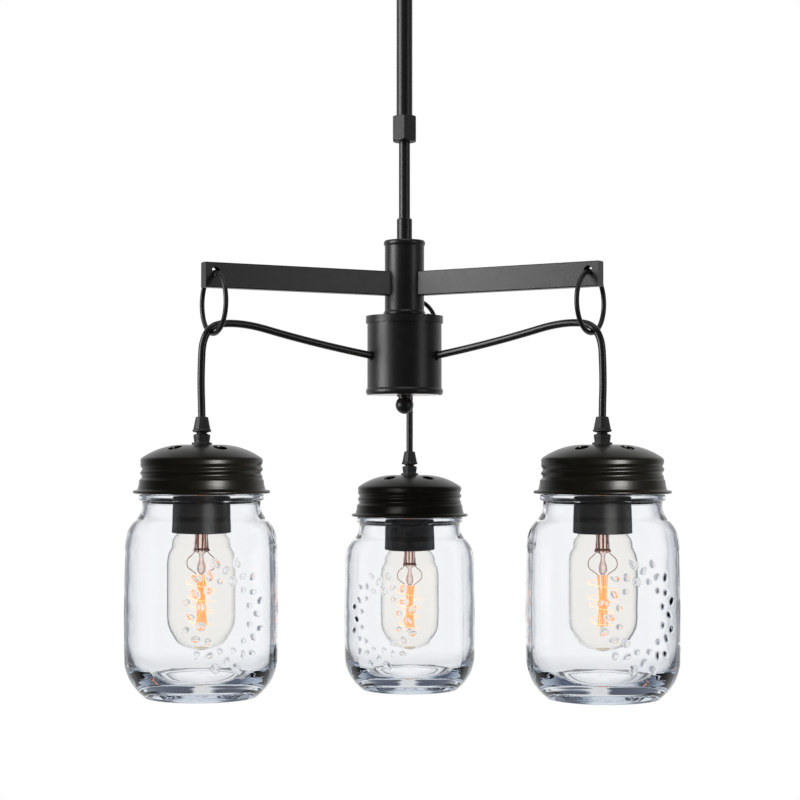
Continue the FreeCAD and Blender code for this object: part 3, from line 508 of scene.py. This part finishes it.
def tube(name: str, points: list[Vector], radius: float, sides: int) -> Piece:
    """Bend a round wire along points.

    Args:
        name: the piece's name.
        points: the control points of its smooth line, in metres.
        radius: the wire's radius, in metres.
        sides: the bevel resolution.

    Returns:
        The wire as a mesh.
    """
    curve = smooth_curve(name, points)
    curve.bevel_depth = radius
    curve.bevel_resolution = sides
    curve.use_fill_caps = True
    piece = bpy.data.objects.new(name, curve)
    bpy.context.scene.collection.objects.link(piece)
    select_only(piece)
    bpy.ops.object.convert(target="MESH")
    piece = bpy.context.object
    bpy.ops.object.shade_smooth_by_angle(angle=WIRE_CREASE)
    return piece


def centreline(points: list[Vector]) -> list[Vector]:
    """Return the line that a smooth wire with these control points follows."""
    curve = smooth_curve("centreline", points)
    holder = bpy.data.objects.new("centreline", curve)
    line = bpy.data.meshes.new_from_object(holder)
    path = [vertex.co.copy() for vertex in line.vertices]
    bpy.data.objects.remove(holder)
    bpy.data.curves.remove(curve)
    bpy.data.meshes.remove(line)
    return path


def join(name: str, pieces: list[Piece]) -> Piece:
    """Join pieces of one part into one object."""
    select_only(*pieces)
    bpy.ops.object.join()
    joined = bpy.context.object
    joined.name = name
    return joined


def carve(piece: Piece, cutters: list[Piece]) -> None:
    """Cut the cutters out of a piece and clear them away."""
    for cutter in cutters:
        select_only(piece)
        cut = piece.modifiers.new("cut", "BOOLEAN")
        cut.operation = "DIFFERENCE"
        cut.solver = "EXACT"
        cut.object = cutter
        bpy.ops.object.modifier_apply(modifier=cut.name)
        bpy.data.objects.remove(cutter)


def read_points(piece: Piece) -> np.ndarray:
    """Return a piece's points as an array."""
    points = np.empty(len(piece.data.vertices) * 3)
    piece.data.vertices.foreach_get("co", points)
    return points.reshape(-1, 3)


def write_points(piece: Piece, points: np.ndarray) -> None:
    """Move a piece's points."""
    piece.data.vertices.foreach_set("co", points.ravel())
    piece.data.update()


def reach_of(points: np.ndarray) -> np.ndarray:
    """Return how far points are from the upright axis through the origin."""
    return np.hypot(points[:, 0], points[:, 1])


def push_out(piece: Piece, points: np.ndarray, rise: np.ndarray) -> None:
    """Move a piece's points away from the upright axis.

    Args:
        piece: the piece.
        points: its points.
        rise: how far each moves, in metres.
    """
    points[:, :2] *= (1 + rise / np.maximum(reach_of(points), MM))[:, None]
    write_points(piece, points)


def stand_in(piece: Piece, finish: Finish, body: str, slot: str, *nodes: str) -> None:
    """Dress a new piece, let it ride on a body and hide the nodes that it stands for."""
    dress(piece, finish)
    if nodes:
        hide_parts(*nodes)
    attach(piece, body)
    log.info("%s rides on %s", piece.name, body)


def dress_nodes(finish: Finish, *names: str) -> None:
    """Give CAD nodes that stay as they are their finish."""
    for name in names:
        dress(frame["nodes"][name], finish)


# ---- studio

@dataclass(frozen=True)
class Softbox:
    """A rectangular studio light that lights only some of the pieces."""

    name: str
    spot: tuple[float, float, float]
    width: float
    height: float
    power: float
    lights: str

    def hang(self, target: Vector) -> None:
        """Hang the light and aim it."""
        bpy.ops.object.light_add(type="AREA", location=self.spot)
        lamp = bpy.context.object
        lamp.name = self.name
        lamp.data.shape = "RECTANGLE"
        lamp.data.size = self.width
        lamp.data.size_y = self.height
        lamp.data.energy = self.power
        aim = target - Vector(self.spot)
        lamp.rotation_euler = aim.to_track_quat("-Z", "Y").to_euler()

    def choose(self, groups: dict[str, bpy.types.Collection]) -> None:
        """Let the light reach its group of pieces alone."""
        bpy.data.objects[self.name].light_linking.receiver_collection = groups[self.lights]


@dataclass
class Studio:
    """The camera, the lamps, the white surroundings and the pale floor."""

    softboxes: tuple[Softbox, ...] = (
        Softbox("key", (-1.55, -0.60, -0.15), 0.8, 1.5, 30.0, "ironwork"),
        Softbox("fill", (1.7, -1.0, -0.3), 0.6, 1.3, 5.0, "ironwork"),
        Softbox("top", (0.1, -0.5, 0.9), 1.0, 0.8, 4.0, "ironwork"),
        Softbox("front_lid_light", (0.85, -1.40, -0.30), 0.6, 0.9, 36.0, "front_lids"),
        Softbox("back_lid_light", (-0.80, -1.25, -0.30), 0.6, 0.9, 8.0, "back_lid"))
    distance: float = 1.303
    level: float = -0.5383
    heading: float = math.radians(1.5)
    pitch: float = math.atan2(55.0, FOCAL_PIXELS)
    yaw: float = math.atan2(4.5, FOCAL_PIXELS)
    lens: float = SENSOR * FOCAL_PIXELS / FRAME_PIXELS
    floor_level: float = -1.45
    floor_size: float = 30.0
    pale: Colour = (0.72, 0.75, 0.80)
    dusk: Colour = (0.46, 0.49, 0.54)
    dark: Colour = (0.14, 0.155, 0.20)
    shade: Colour = (0.25, 0.265, 0.29)
    wall: Colour = (0.62, 0.63, 0.65)
    first_look: float = 0.55       # share of the sides' darkness before a reflection

    def build(self) -> None:
        """Set up everything that isn't the object."""
        scene = bpy.context.scene
        scene.view_settings.view_transform = "Standard"
        scene.cycles.max_bounces = 20
        scene.cycles.glossy_bounces = 10
        scene.cycles.transmission_bounces = 20
        self.place_camera()
        self.light_world()
        self.hang_lights()
        self.lay_floor()

    def place_camera(self) -> None:
        """Put the camera where the photograph was taken from."""
        spot = (self.distance * math.sin(self.heading), -self.distance * math.cos(self.heading),
                self.level)
        bpy.ops.object.camera_add(location=spot)
        camera = bpy.context.object
        camera.rotation_euler = (math.pi / 2 + self.pitch, 0, self.heading + self.yaw)
        camera.data.lens = self.lens
        camera.data.sensor_width = SENSOR
        camera.data.clip_start = 0.01
        bpy.context.scene.camera = camera

    def light_world(self) -> None:
        """Surround the object: white backdrop, darker sides and a dim room behind the camera."""
        world = bpy.data.worlds.new("studio")
        bpy.context.scene.world = world
        world.use_nodes = True
        graph = Graph(world.node_tree)
        way = graph.node("ShaderNodeTexCoord", output="Generated")
        x, y, z = (graph.node("ShaderNodeSeparateXYZ", {}, {0: way}, axis) for axis in range(3))
        bounced = graph.ray("Glossy Depth").math("MINIMUM", 1.0)
        room = graph.ramp(y * 0.5 + 0.5, [
            (0.0, 0.03), (0.35, 0.05), (0.60, 0.16), (0.82, 0.75), (1.0, 1.0)])
        colour = graph.blend(graph.ray("Is Glossy Ray"), self.wall, room)
        colour = graph.blend(graph.ray("Is Transmission Ray"), colour,
                             self.through_glass(graph, (x, y, z), bounced))
        colour = graph.blend(graph.ray("Is Camera Ray"), colour, 1.0)
        back = graph.node("ShaderNodeBackground", {}, {"Color": colour, "Strength": 1.0})
        graph.node("ShaderNodeOutputWorld", {}, {"Surface": back})

    def through_glass(self, graph: Graph, way: tuple[Signal, ...], bounced: Signal) -> Signal:
        """Colour what the glass shows: a white backdrop between the studio's dark sides.

        Args:
            graph: the world's graph.
            way: the three parts of the ray's direction.
            bounced: 1 after a reflection, else 0.

        Returns:
            The colour, with all its darkness only after a reflection.
        """
        x, y, z = way
        reach = (x * x + y * y).math("MAXIMUM", 0.0001).math("SQRT")
        sides = graph.ramp(x / reach * 0.5 + 0.5, [
            (0.0, self.pale), (0.09, self.dusk), (0.15, self.dark), (0.26, self.dark),
            (0.295, (0.42, 0.45, 0.50)), (0.335, 1.0), (0.60, 1.0), (0.645, (0.50, 0.53, 0.58)),
            (0.69, self.dark), (0.84, self.dark), (0.91, self.dusk), (1.0, self.pale)])
        share = bounced * (1.0 - self.first_look) + self.first_look
        sides = graph.blend(share, (1.0, 1.0, 1.0), sides)
        height = graph.ramp(z * 0.5 + 0.5, [
            (0.0, 0.78), (0.30, 0.94), (0.39, 1.06), (0.6, 1.06), (1.0, 0.9)])
        seen = graph.node("ShaderNodeMix", {"data_type": "RGBA", "blend_type": "MULTIPLY"},
                          {0: 1.0, 6: sides, 7: height}, output=2)
        ahead = graph.node("ShaderNodeMapRange", {},
                           {"Value": y, "From Min": -0.1, "From Max": 0.15})
        return graph.blend(ahead.math("MAXIMUM", 1.0 - bounced), self.shade, seen)

    def hang_lights(self) -> None:
        """Hang the softboxes."""
        for softbox in self.softboxes:
            softbox.hang(Vector((0, 0, self.level)))

    def share_light(self) -> None:
        """Let each softbox light its own pieces, and leave the glass to the surroundings."""
        groups = {name: bpy.data.collections.new(name) for name in
                  ("ironwork", "front_lids", "back_lid")}
        glassy = [MATERIALS[finish] for finish in (Finish.JAR, Finish.BULB, Finish.STEM)]
        for piece in bpy.context.scene.objects:
            if piece.type != "MESH" or piece.name == "floor" or piece.data.materials[0] in glassy:
                continue
            is_lid = piece.data.materials[0] is MATERIALS[Finish.BRONZE]
            lids = "back_lid" if piece.name.startswith("back") else "front_lids"
            groups[lids if is_lid else "ironwork"].objects.link(piece)
        for softbox in self.softboxes:
            softbox.choose(groups)

    def lay_floor(self) -> None:
        """Lay the pale floor far below the light."""
        bpy.ops.mesh.primitive_plane_add(size=self.floor_size, location=(0, 0, self.floor_level))
        floor = bpy.context.object
        floor.name = "floor"
        floor.visible_glossy = False
        floor.visible_transmission = False
        material, graph = new_material("pale_floor")
        shade = graph.principled(Base_Color=rgba(0.8), Roughness=0.8)
        white = graph.node("ShaderNodeEmission", {}, {"Color": rgba(1.0), "Strength": 1.0})
        graph.finish(graph.node("ShaderNodeMixShader", {},
                                {0: graph.ray("Is Camera Ray"), 1: shade, 2: white}))
        floor.data.materials.append(material)


# ---- cords

@dataclass
class Cords:
    """The three cords, each in a run to its ring and a drop below it."""

    radius: float = 2.5
    run: tuple[Point, ...] = (
        (21.2, -50.27), (44.0, -46.7), (84.0, -39.0), (122.0, -29.9), (148.8, -33.2))
    front_split: Point = (149.64, -51.0)
    back_split: Point = (149.58, -51.0)
    front_drop: tuple[Point, ...] = ((150.4, -67.0), (149.5, -90.0), (149.5, -103.0))
    back_drop: tuple[Point, ...] = (
        (150.2, -65.0), (150.6, -92.5), (149.5, -112.0), (149.5, -125.0))
    bend_start: float = 50.0
    bend_end: float = 136.0
    sides: int = 5

    def build(self) -> None:
        """Make the run through each ring and the drop to each lamp."""
        for lamp in LAMPS:
            back = lamp == "back"
            split = self.back_split if back else self.front_split
            drop = self.back_drop if back else self.front_drop
            way, ring = arm_way(lamp), f"{lamp}_ring"
            line = self.line(lamp, [*self.run, split])
            self.lay(f"{lamp}_cord_to_ring", line, f"{lamp}_cord_run", ("hub", ring),
                     (way * self.bend_start * MM, way * self.bend_end * MM))
            line = self.line(lamp, [split, *drop])
            self.lay(f"{lamp}_cord_to_lamp", line, f"{lamp}_cord_drop", (ring, f"{lamp}_lamp"),
                     (centreline(line)[0], line[1]))

    def line(self, lamp: str, points: list[Point]) -> list[Vector]:
        """Place points of reach and height in the upright plane of a lamp's arm."""
        low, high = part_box(f"{lamp}_arm")
        level = (low.z + high.z) / 2
        way = arm_way(lamp)
        return [Vector((way.x * reach * MM, way.y * reach * MM, level + height * MM))
                for reach, height in points]

    def lay(self, name: str, line: list[Vector], node: str, bodies: tuple[str, str],
            bend: tuple[Vector, Vector]) -> None:
        """Make and dress one cord piece and hide the node that it stands for.

        Args:
            name: the piece's name.
            line: the control points of its line.
            node: the node that it stands for.
            bodies: the two bodies that it joins.
            bend: where its bend from one body to the other starts and ends; not used.
        """
        piece = tube(name, line, self.radius * MM, self.sides)
        path = centreline(line)
        dress(piece, Finish.CORD)
        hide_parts(node)
        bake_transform(piece)
        log.info("%s bends between %s and %s", piece.name, *bodies)


def arm_way(lamp: str) -> Vector:
    """Return the level direction of a lamp's arm."""
    low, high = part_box(f"{lamp}_lid")
    middle = (low + high) / 2
    return Vector((middle.x, middle.y, 0)).normalized()


# ---- lamps

@dataclass
class Pattern:
    """A piece modelled once about the upright axis through the origin, for all three lamps."""

    piece: Piece
    finish: Finish
    slot: str
    node: str = ""
    part: str = "lamp"
    back_turn: float = 0.0


@dataclass
class Lamp:
    """One lamp of the light, which gets a copy of every pattern.

    The patterns' heights are in millimetres from the top of the lid.
    """

    name: str
    axis: Vector = field(init=False)

    def __post_init__(self) -> None:
        """Find the lamp's axis and the top of its lid in the frame."""
        low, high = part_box(f"{self.name}_lid")
        self.axis = Vector(((low.x + high.x) / 2, (low.y + high.y) / 2, high.z))

    def hang(self, patterns: list[Pattern]) -> None:
        """Copy the patterns to this lamp and dress the nodes that stay."""
        for pattern in patterns:
            select_only(pattern.piece)
            bpy.ops.object.duplicate()
            copy = bpy.context.object
            copy.name = f"{self.name}_{pattern.piece.name}"
            copy.location = self.axis
            if self.name == "back":
                copy.rotation_euler.z = math.radians(pattern.back_turn)
            settle(copy)
            nodes = [f"{self.name}_{pattern.node}"] if pattern.node else []
            stand_in(copy, pattern.finish, f"{self.name}_{pattern.part}", pattern.slot, *nodes)
        dress_nodes(Finish.CERAMIC, f"{self.name}_lamp_holder")
        dress_nodes(Finish.RUBBER, f"{self.name}_gasket")
        dress_nodes(Finish.PAINT, f"{self.name}_ring")


@dataclass
class Lid:
    """The pressed lid with its vents, rolled thread, skirt and curled rim, and the cup under it."""

    thread_pitch: float = 5.08
    thread_depth: float = 0.62
    thread_middle: float = -17.2
    thread_reach: float = 6.2
    vent_count: int = 5
    vent_offset: float = 24.5
    vent_radius: float = 4.5
    segments: int = 192
    rib_count: int = 5
    rib_pitch: float = 3.4
    rib_top: float = -20.0

    def build(self) -> list[Pattern]:
        """Make the lid and the cup under it."""
        return [Pattern(self.make_lid(), Finish.BRONZE, "lid_bronze", "lid"),
                Pattern(self.make_cup(), Finish.BRONZE, "lid_bronze", "socket_cup")]

    def make_lid(self) -> Piece:
        """Turn the lid, roll its thread and punch its vents."""
        outer = outline([
            (4.3, 0.0), (8.5, -0.25), (12.0, 0.0, -46.0), (38.6, -8.5, -2.6), (39.3, -11.6, -3.0),
            (39.0, -13.2)], 1.1)
        thread = outline([(39.0, -13.2), (38.9, -21.4)], 0.42)
        skirt = outline([
            (38.9, -21.4, 3.0), (40.1, -22.8), (40.5, -26.0), (41.1, -28.6, 1.6), (42.3, -29.4),
            (43.4, -29.5, -0.9), (44.3, -30.4, -0.9), (43.4, -31.4, -0.9), (42.4, -31.45),
            (41.6, -31.2)], 0.7)
        inside = outline([(40.2, -30.6), (40.2, -28.8), (39.4, -23.4), (38.3, -21.6)], 1.5)
        thread_in = outline([(38.3, -21.6), (38.3, -13.2)], 0.6)
        top_in = outline([
            (38.3, -13.2), (38.2, -10.4), (37.6, -8.9, 45.2), (12.0, -0.8), (4.3, -0.8)], 1.6)
        points = outer[:-1] + thread[:-1] + skirt + inside[:-1] + thread_in[:-1] + top_in
        lid = turn("lid_shell", points, self.segments, closed=True)
        self.roll_thread(lid)
        self.punch_vents(lid)
        return lid

    def roll_thread(self, lid: Piece) -> None:
        """Swell the wall along a right-hand helix of one start that fades at both ends."""
        points = read_points(lid)
        height = points[:, 2] / MM
        fade = np.clip(1.2 - np.abs(height - self.thread_middle) / self.thread_reach, 0, 1)
        fade = np.where(reach_of(points) > 30 * MM, fade * fade * (3 - 2 * fade), 0)
        angle = np.arctan2(points[:, 0], -points[:, 1])
        phase = (height - self.thread_middle) / self.thread_pitch - angle / math.tau
        push_out(lid, points, fade * self.thread_depth * MM * np.cos(math.tau * phase))

    def punch_vents(self, lid: Piece) -> None:
        """Punch the round vents in the dome."""
        cutters = []
        for number in range(self.vent_count):
            angle = math.tau * (number + 0.25) / self.vent_count
            spot = Vector((math.cos(angle), math.sin(angle), 0)) * self.vent_offset * MM
            bpy.ops.mesh.primitive_cylinder_add(
                vertices=40, radius=self.vent_radius * MM, depth=16 * MM, location=spot)
            cutters.append(bpy.context.object)
        carve(lid, cutters)
        select_only(lid)
        bpy.ops.object.shade_smooth_by_angle(angle=TURNED_CREASE)

    def make_cup(self) -> Piece:
        """Turn the flared socket cup with its rolled lip and shallow ribs."""
        outer = [(4.3, -1.4), (17.2, -1.4, -1.1), (18.3, -2.5), (18.4, -14.0)]
        ribs = []
        for rib in range(self.rib_count):
            top = self.rib_top - rib * self.rib_pitch
            ribs += [(18.5, top), (18.75, top - 0.8), (18.75, top - 1.6), (18.5, top - 2.4)]
        lip = [(18.9, -50.0), (19.1, -57.2), (19.25, -58.2), (18.9, -58.5), (18.2, -58.4),
               (18.1, -57.0), (17.3, -2.6), (4.3, -2.4)]
        return turn("cup_shell", outline(outer + ribs + lip, 2.2), 96, closed=True)


@dataclass
class Grip:
    """The cord grip on the lid: a ribbed body and a cone nut with a seam between them."""

    segments: int = 84
    rib_count: int = 14
    rib_depth: float = 0.16

    def build(self) -> list[Pattern]:
        """Make both halves of the grip."""
        foot = outline([
            (1.8, -16.0), (4.2, -16.0), (4.2, -0.1), (6.5, -0.1), (6.6, 0.3), (6.5, 1.1),
            (6.2, 1.4), (5.15, 1.5), (5.05, 1.9), (5.6, 5.9), (5.4, 6.4), (3.4, 7.1), (3.3, 7.4),
            (3.3, 12.0), (2.7, 12.0), (2.7, 7.5), (1.8, 7.5)], 0.8)
        cone = outline([
            (3.5, 7.7), (5.7, 8.3), (6.1, 8.7), (6.1, 9.3), (5.85, 9.7), (5.6, 10.0), (4.15, 17.4),
            (3.8, 17.95), (3.3, 18.05), (2.7, 17.9), (2.7, 12.1), (3.5, 12.1)], 0.8)
        patterns = []
        for label, node, points in (("grip_foot", "grip_body", foot),
                                    ("grip_cone", "grip_nut", cone)):
            piece = turn(label, points, self.segments, closed=True)
            self.press_ribs(piece)
            patterns.append(Pattern(piece, Finish.GRIP, "grip_plastic", node))
        return patterns

    def press_ribs(self, piece: Piece) -> None:
        """Press shallow upright ribs into the outside."""
        points = read_points(piece)
        angle = np.arctan2(points[:, 1], points[:, 0])
        height = points[:, 2] / MM
        outside = (reach_of(points) > 3.4 * MM) & (height > 1.6) & (height < 17.0)
        outside &= ~((height > 6.2) & (height < 9.9))
        cut = self.rib_depth * MM * (1 - np.cos(angle * self.rib_count)) / 2
        push_out(piece, points, np.where(outside, -cut, 0))


@dataclass
class Jar:
    """The pressed glass jar: thick foot, wavy panels and an oval wreath of beads."""

    segments: int = 352
    rim: float = -11.1
    panel_count: int = 10
    panel_depth: float = 0.28
    wall_radius: float = 50.0
    skin: float = 47.6             # the wall's inner face lies within this radius
    wreath_turn: float = 26.0      # degrees from the camera's side
    wreath_height: float = -107.0
    wreath_half_width: float = 27.0
    wreath_half_height: float = 34.0
    drop_count: int = 24
    drop_size: Point = (3.0, 1.6)
    drop_lean: float = 0.5
    pearl_size: float = 1.9
    bead_height: float = 1.15

    def build(self) -> list[Pattern]:
        """Turn the jar, press its panels and its beads."""
        jar = turn("jar_glass", self.section(), self.segments, closed=True)
        self.press_shape(jar)
        return [Pattern(jar, Finish.JAR, "jar_glass", "jar", "jar", -2 * self.wreath_turn)]

    def section(self) -> list[Point]:
        """Return the outline of the glass, from the mouth down outside and back up inside."""
        rim = self.rim
        outer_top = outline([
            (34.6, rim), (36.9, rim, -0.6), (37.4, rim - 0.5), (37.4, -32.0), (39.6, -32.2, -0.9),
            (40.3, -33.2), (40.3, -34.8, -1.1), (39.4, -35.9), (38.5, -36.4), (38.2, -37.4),
            (38.2, -38.6, 15.0), (42.5, -48.9, -22.0), (49.2, -66.0)], 1.6)
        side = outline([(49.2, -66.0), (50.0, -110.0), (49.4, -140.0)], 0.8)
        foot = outline([
            (49.4, -140.0, -33.0), (37.5, -161.2, -2.2), (35.0, -162.5), (31.5, -162.5),
            (29.0, -161.2), (27.5, -159.6), (24.0, -159.2), (22.5, -160.0), (20.0, -159.4),
            (16.0, -158.9), (8.0, -158.6), (0.0, -158.5)], 1.3)
        floor = outline([
            (0.0, -153.6), (8.0, -153.9), (20.0, -154.6), (30.0, -154.2, 27.0),
            (44.6, -141.0, 60.0), (46.2, -122.0)], 2.0)
        inner = outline([
            (46.2, -122.0), (46.6, -100.0), (45.9, -66.0), (45.4, -62.0, 19.0),
            (39.3, -48.9, -15.0), (35.0, -38.6), (34.4, -34.0), (34.2, -28.0),
            (34.2, rim - 0.5)], 2.4)
        return outer_top[:-1] + side[:-1] + foot + floor[:-1] + inner

    def wreath(self) -> list[tuple[float, float, float, float, float]]:
        """Lay out the wreath.

        Returns:
            For each bead its place round the jar, its height, its half length, its half width
            and its lean, in millimetres and radians.
        """
        beads = []
        for number in range(self.drop_count):
            angle = math.tau * number / self.drop_count
            outward = 1.0 if number % 2 else 0.84
            across = math.cos(angle) * self.wreath_half_width * outward
            up = math.sin(angle) * self.wreath_half_height * outward
            lean = angle + (self.drop_lean if number % 2 else -self.drop_lean)
            beads.append((across, up, *self.drop_size, lean))
        for number in range(self.drop_count // 2):
            angle = math.tau * (number + 0.5) / (self.drop_count // 2)
            across = math.cos(angle) * self.wreath_half_width * 0.62
            up = math.sin(angle) * self.wreath_half_height * 0.66
            beads.append((across, up, self.pearl_size, self.pearl_size, 0.0))
        return beads

    def press_shape(self, jar: Piece) -> None:
        """Flatten the side into soft panels, raise the beads of the wreath and paint refraction
        shade on their slopes.
        """
        points = read_points(jar)
        radius = reach_of(points)
        angle = np.arctan2(points[:, 0], -points[:, 1])
        height = points[:, 2] / MM
        outside = radius > self.skin * MM
        body = np.clip((height + 152.0) / 10.0, 0, 1) * np.clip((-54.0 - height) / 10.0, 0, 1)
        panel = -np.abs(np.sin(angle * self.panel_count / 2)) * self.panel_depth
        lift = np.where(radius > 40 * MM, body * panel, 0.0)
        away = (angle - math.radians(self.wreath_turn) + math.pi) % math.tau - math.pi
        across = away * self.wall_radius
        beads = np.zeros(len(points))
        for place, up, length, width, lean in self.wreath():
            du = across - place
            dv = height - self.wreath_height - up
            along = du * math.cos(lean) + dv * math.sin(lean)
            aside = -du * math.sin(lean) + dv * math.cos(lean)
            taper = width * np.clip(1 - 0.45 * along / length, 0.35, 1.5)
            dome = np.clip(1 - (along / length) ** 2 - (aside / taper) ** 2, 0, 1)
            lift += np.where(outside, self.bead_height * np.sqrt(dome) * np.minimum(1, dome * 3), 0)
            # Painted refraction shade: a ring over each bead's slope, lighter on its top, kept as
            # the 'pressed' attribute.
            rise = np.minimum(1, dome * 6) * (1 - np.minimum(1, dome * 1.3))
            beads = np.maximum(beads, np.where(outside, rise, 0))
        push_out(jar, points, lift * MM)
        jar.data.attributes.new("pressed", "FLOAT", "POINT").data.foreach_set("value", beads)


@dataclass
class Bulb:
    """The tubular filament bulb: base, clear envelope, glass stem and glowing cage."""

    thread_turns: int = 5
    thread_pitch: float = 3.6
    strands: int = 9
    strand_steps: int = 6
    strand_wire: float = 0.42
    cage_top: float = -84.0
    cage_foot: float = -116.5
    cage_radius: float = 2.7
    loop_turns: int = 4
    loop_steps: int = 12
    loop_radius: float = 10.4
    loop_wire: float = 0.24
    wire_sides: int = 2

    def build(self) -> list[Pattern]:
        """Make the bulb's pieces."""
        return [Pattern(self.make_envelope(), Finish.BULB, "bulb_glass", "bulb_glass"),
                Pattern(self.make_tip(), Finish.TIP, "bulb_glass"),
                Pattern(self.make_base(), Finish.NICKEL, "base_nickel", "bulb_base"),
                Pattern(self.make_stem(), Finish.STEM, "stem_glass", "bulb_stem"),
                Pattern(self.make_leads(), Finish.LEAD, "base_nickel", back_turn=180.0),
                Pattern(self.make_strands(), Finish.FILAMENT, "bulb_glass"),
                Pattern(self.make_loops(), Finish.LOOPS, "bulb_glass")]

    def make_envelope(self) -> Piece:
        """Turn the thin glass envelope."""
        outer = outline([
            (12.4, -50.0), (12.5, -55.5, -30.0), (22.2, -78.0), (22.3, -95.0),
            (22.2, -111.0, -21.4), (8.0, -131.0), (3.0, -132.0, -4.0), (0.0, -132.4)], 1.4)
        inner = outline([
            (0.0, -131.2), (3.0, -131.0), (7.8, -130.0, 20.6), (21.4, -111.0), (21.5, -95.0),
            (21.4, -78.0, 29.2), (11.7, -55.5), (11.6, -50.0)], 1.8)
        return turn("bulb_envelope", outer + inner, 96, closed=True)

    def make_tip(self) -> Piece:
        """Turn the amber disc inside the envelope's end, a painted reflection of the filament's
        glow at the tip.
        """
        points = [(0.0, -131.15), (4.4, -131.0), (4.6, -130.6), (4.2, -130.2), (0.0, -130.3)]
        return turn("bulb_tip", outline(points, 0.8), 40, closed=True)

    def make_base(self) -> Piece:
        """Turn the screw base with its rolled thread."""
        points = [(0.0, -26.6), (3.6, -26.8), (4.5, -27.6), (4.6, -28.4), (9.6, -28.9)]
        for number in range(self.thread_turns):
            top = -32.0 - number * self.thread_pitch
            points += [(12.3, top), (13.0, top - 0.9), (13.0, top - 1.8), (12.4, top - 2.7)]
        points += [(12.9, -51.5), (13.0, -54.6), (12.55, -54.6), (11.9, -31.0), (0.0, -31.0)]
        return turn("bulb_screw", outline(points, 1.6), 72)

    def make_stem(self) -> Piece:
        """Turn the flared glass stem with the rod below it, and press it flat where it is shut."""
        stem = turn("stem_tube", outline(
            [(0.0, -51.0), (11.4, -51.0), (11.4, -52.0), (5.2, -53.6), (4.3, -56.0), (4.2, -64.5),
             (3.6, -67.5), (1.7, -70.0), (1.4, -72.0), (1.6, -75.0), (2.6, -78.0), (2.9, -80.0),
             (2.4, -82.0), (1.2, -83.4), (0.9, -86.0), (0.9, -117.5), (1.7, -118.6), (1.5, -119.8),
             (0.0, -120.3)], 1.0), 36)
        points = read_points(stem)
        press = np.clip(1 - np.abs(points[:, 2] / MM + 67.5) / 3.5, 0, 1)
        points[:, 0] *= 1 + 0.55 * press
        points[:, 1] *= 1 - 0.45 * press
        write_points(stem, points)
        return stem

    def make_leads(self) -> Piece:
        """Bend the two lead wires with their hooks, and the wires inside the stem."""
        wires = []
        for side in (-1, 1):
            wires.append(self.wire(0.28, [
                (side * 3.0, 0, -54.0), (side * 3.2, 0, -66.0), (side * 5.0, -1.5, -70.5),
                (side * 9.0, -2, -73.5), (side * 9.6, -1, -79.0), (side * 5.2, 0, -82.0),
                (side * 2.8, 0, self.cage_top)]))
        for side, depth in ((-1.2, 0.8), (1.4, -0.6), (0.2, 1.2)):
            wires.append(self.wire(0.42, [
                (side, depth, -53.0), (side * 1.3, depth, -62.0), (side * 1.6, depth, -68.5)]))
        return join("lead_wires", wires)

    def wire(self, radius: float, points: list[tuple[float, float, float]]) -> Piece:
        """Bend one wire through points in millimetres."""
        return tube("wire", [Vector(point) * MM for point in points], radius * MM, self.wire_sides)

    def make_strands(self) -> Piece:
        """Run the hot strands down the middle, drawn in at half height."""
        strands = []
        for number in range(self.strands):
            angle = math.tau * (number + 0.25) / self.strands
            points = []
            for step in range(self.strand_steps + 1):
                share = step / self.strand_steps
                height = self.cage_top + (self.cage_foot - self.cage_top) * share
                reach = self.cage_radius * (1.25 - 0.5 * math.sin(math.pi * share))
                sway = angle + 0.5 * share
                points.append((math.cos(sway) * reach, math.sin(sway) * reach, height))
            strands.append(self.wire(self.strand_wire, points))
        return join("hot_strands", strands)

    def make_loops(self) -> Piece:
        """Wind the pale support-wire loops round the strands; their glow is a painted glint of the
        filament's light.
        """
        points = []
        steps = self.loop_turns * self.loop_steps
        for step in range(steps + 1):
            share = step / steps
            angle = math.tau * self.loop_turns * share
            reach = self.loop_radius * math.sin(math.pi * min(0.5, share * 2.2 + 0.18))
            reach *= 1.0 - 0.25 * share
            height = -86.0 - 30.0 * share + 1.2 * math.sin(angle * 0.5)
            points.append((math.cos(angle) * reach, math.sin(angle) * reach, height))
        loops = self.wire(self.loop_wire, points)
        loops.name = "filament_loops"
        return loops


def hang_lamps() -> None:
    """Model every lamp piece once, give each lamp its copies and clear the patterns away."""
    patterns = [*Lid().build(), *Grip().build(), *Jar().build(), *Bulb().build()]
    for name in LAMPS:
        Lamp(name).hang(patterns)
    for pattern in patterns:
        bpy.data.objects.remove(pattern.piece)


# ---- the rest of the light

class Ironwork:
    """The rod, hub, arms and ceiling end, whose nodes keep their shape."""

    painted = ("canopy", "canopy_cap_nuts", "outer_tube", "inner_tube", "coupling", "column",
               "housing_shell", "housing_cap", "finial", "left_arm", "right_arm",
               "back_arm", "housing_screw")
    plated = ("crossbar", "canopy_studs", "tube_nut", "stem_rod")

    def build(self) -> None:
        """Dress the nodes."""
        dress_nodes(Finish.PAINT, *self.painted)
        dress_nodes(Finish.NUT, "lock_nut")
        dress_nodes(Finish.ZINC, *self.plated)
        dress_nodes(Finish.COVER, "housing_cover")
        dress_nodes(Finish.GRIP, "collet", "cord_bushings")
        log.info("ironwork dressed")


def main() -> None:
    """Build the camera and the cords first, then every other piece."""
    logging.basicConfig(level=logging.INFO, format="%(relativeCreated)6d ms  %(message)s")
    studio = Studio()
    studio.build()
    Cords().build()
    Ironwork().build()
    hang_lamps()
    studio.share_light()


if __name__ == "__main__":
    main()
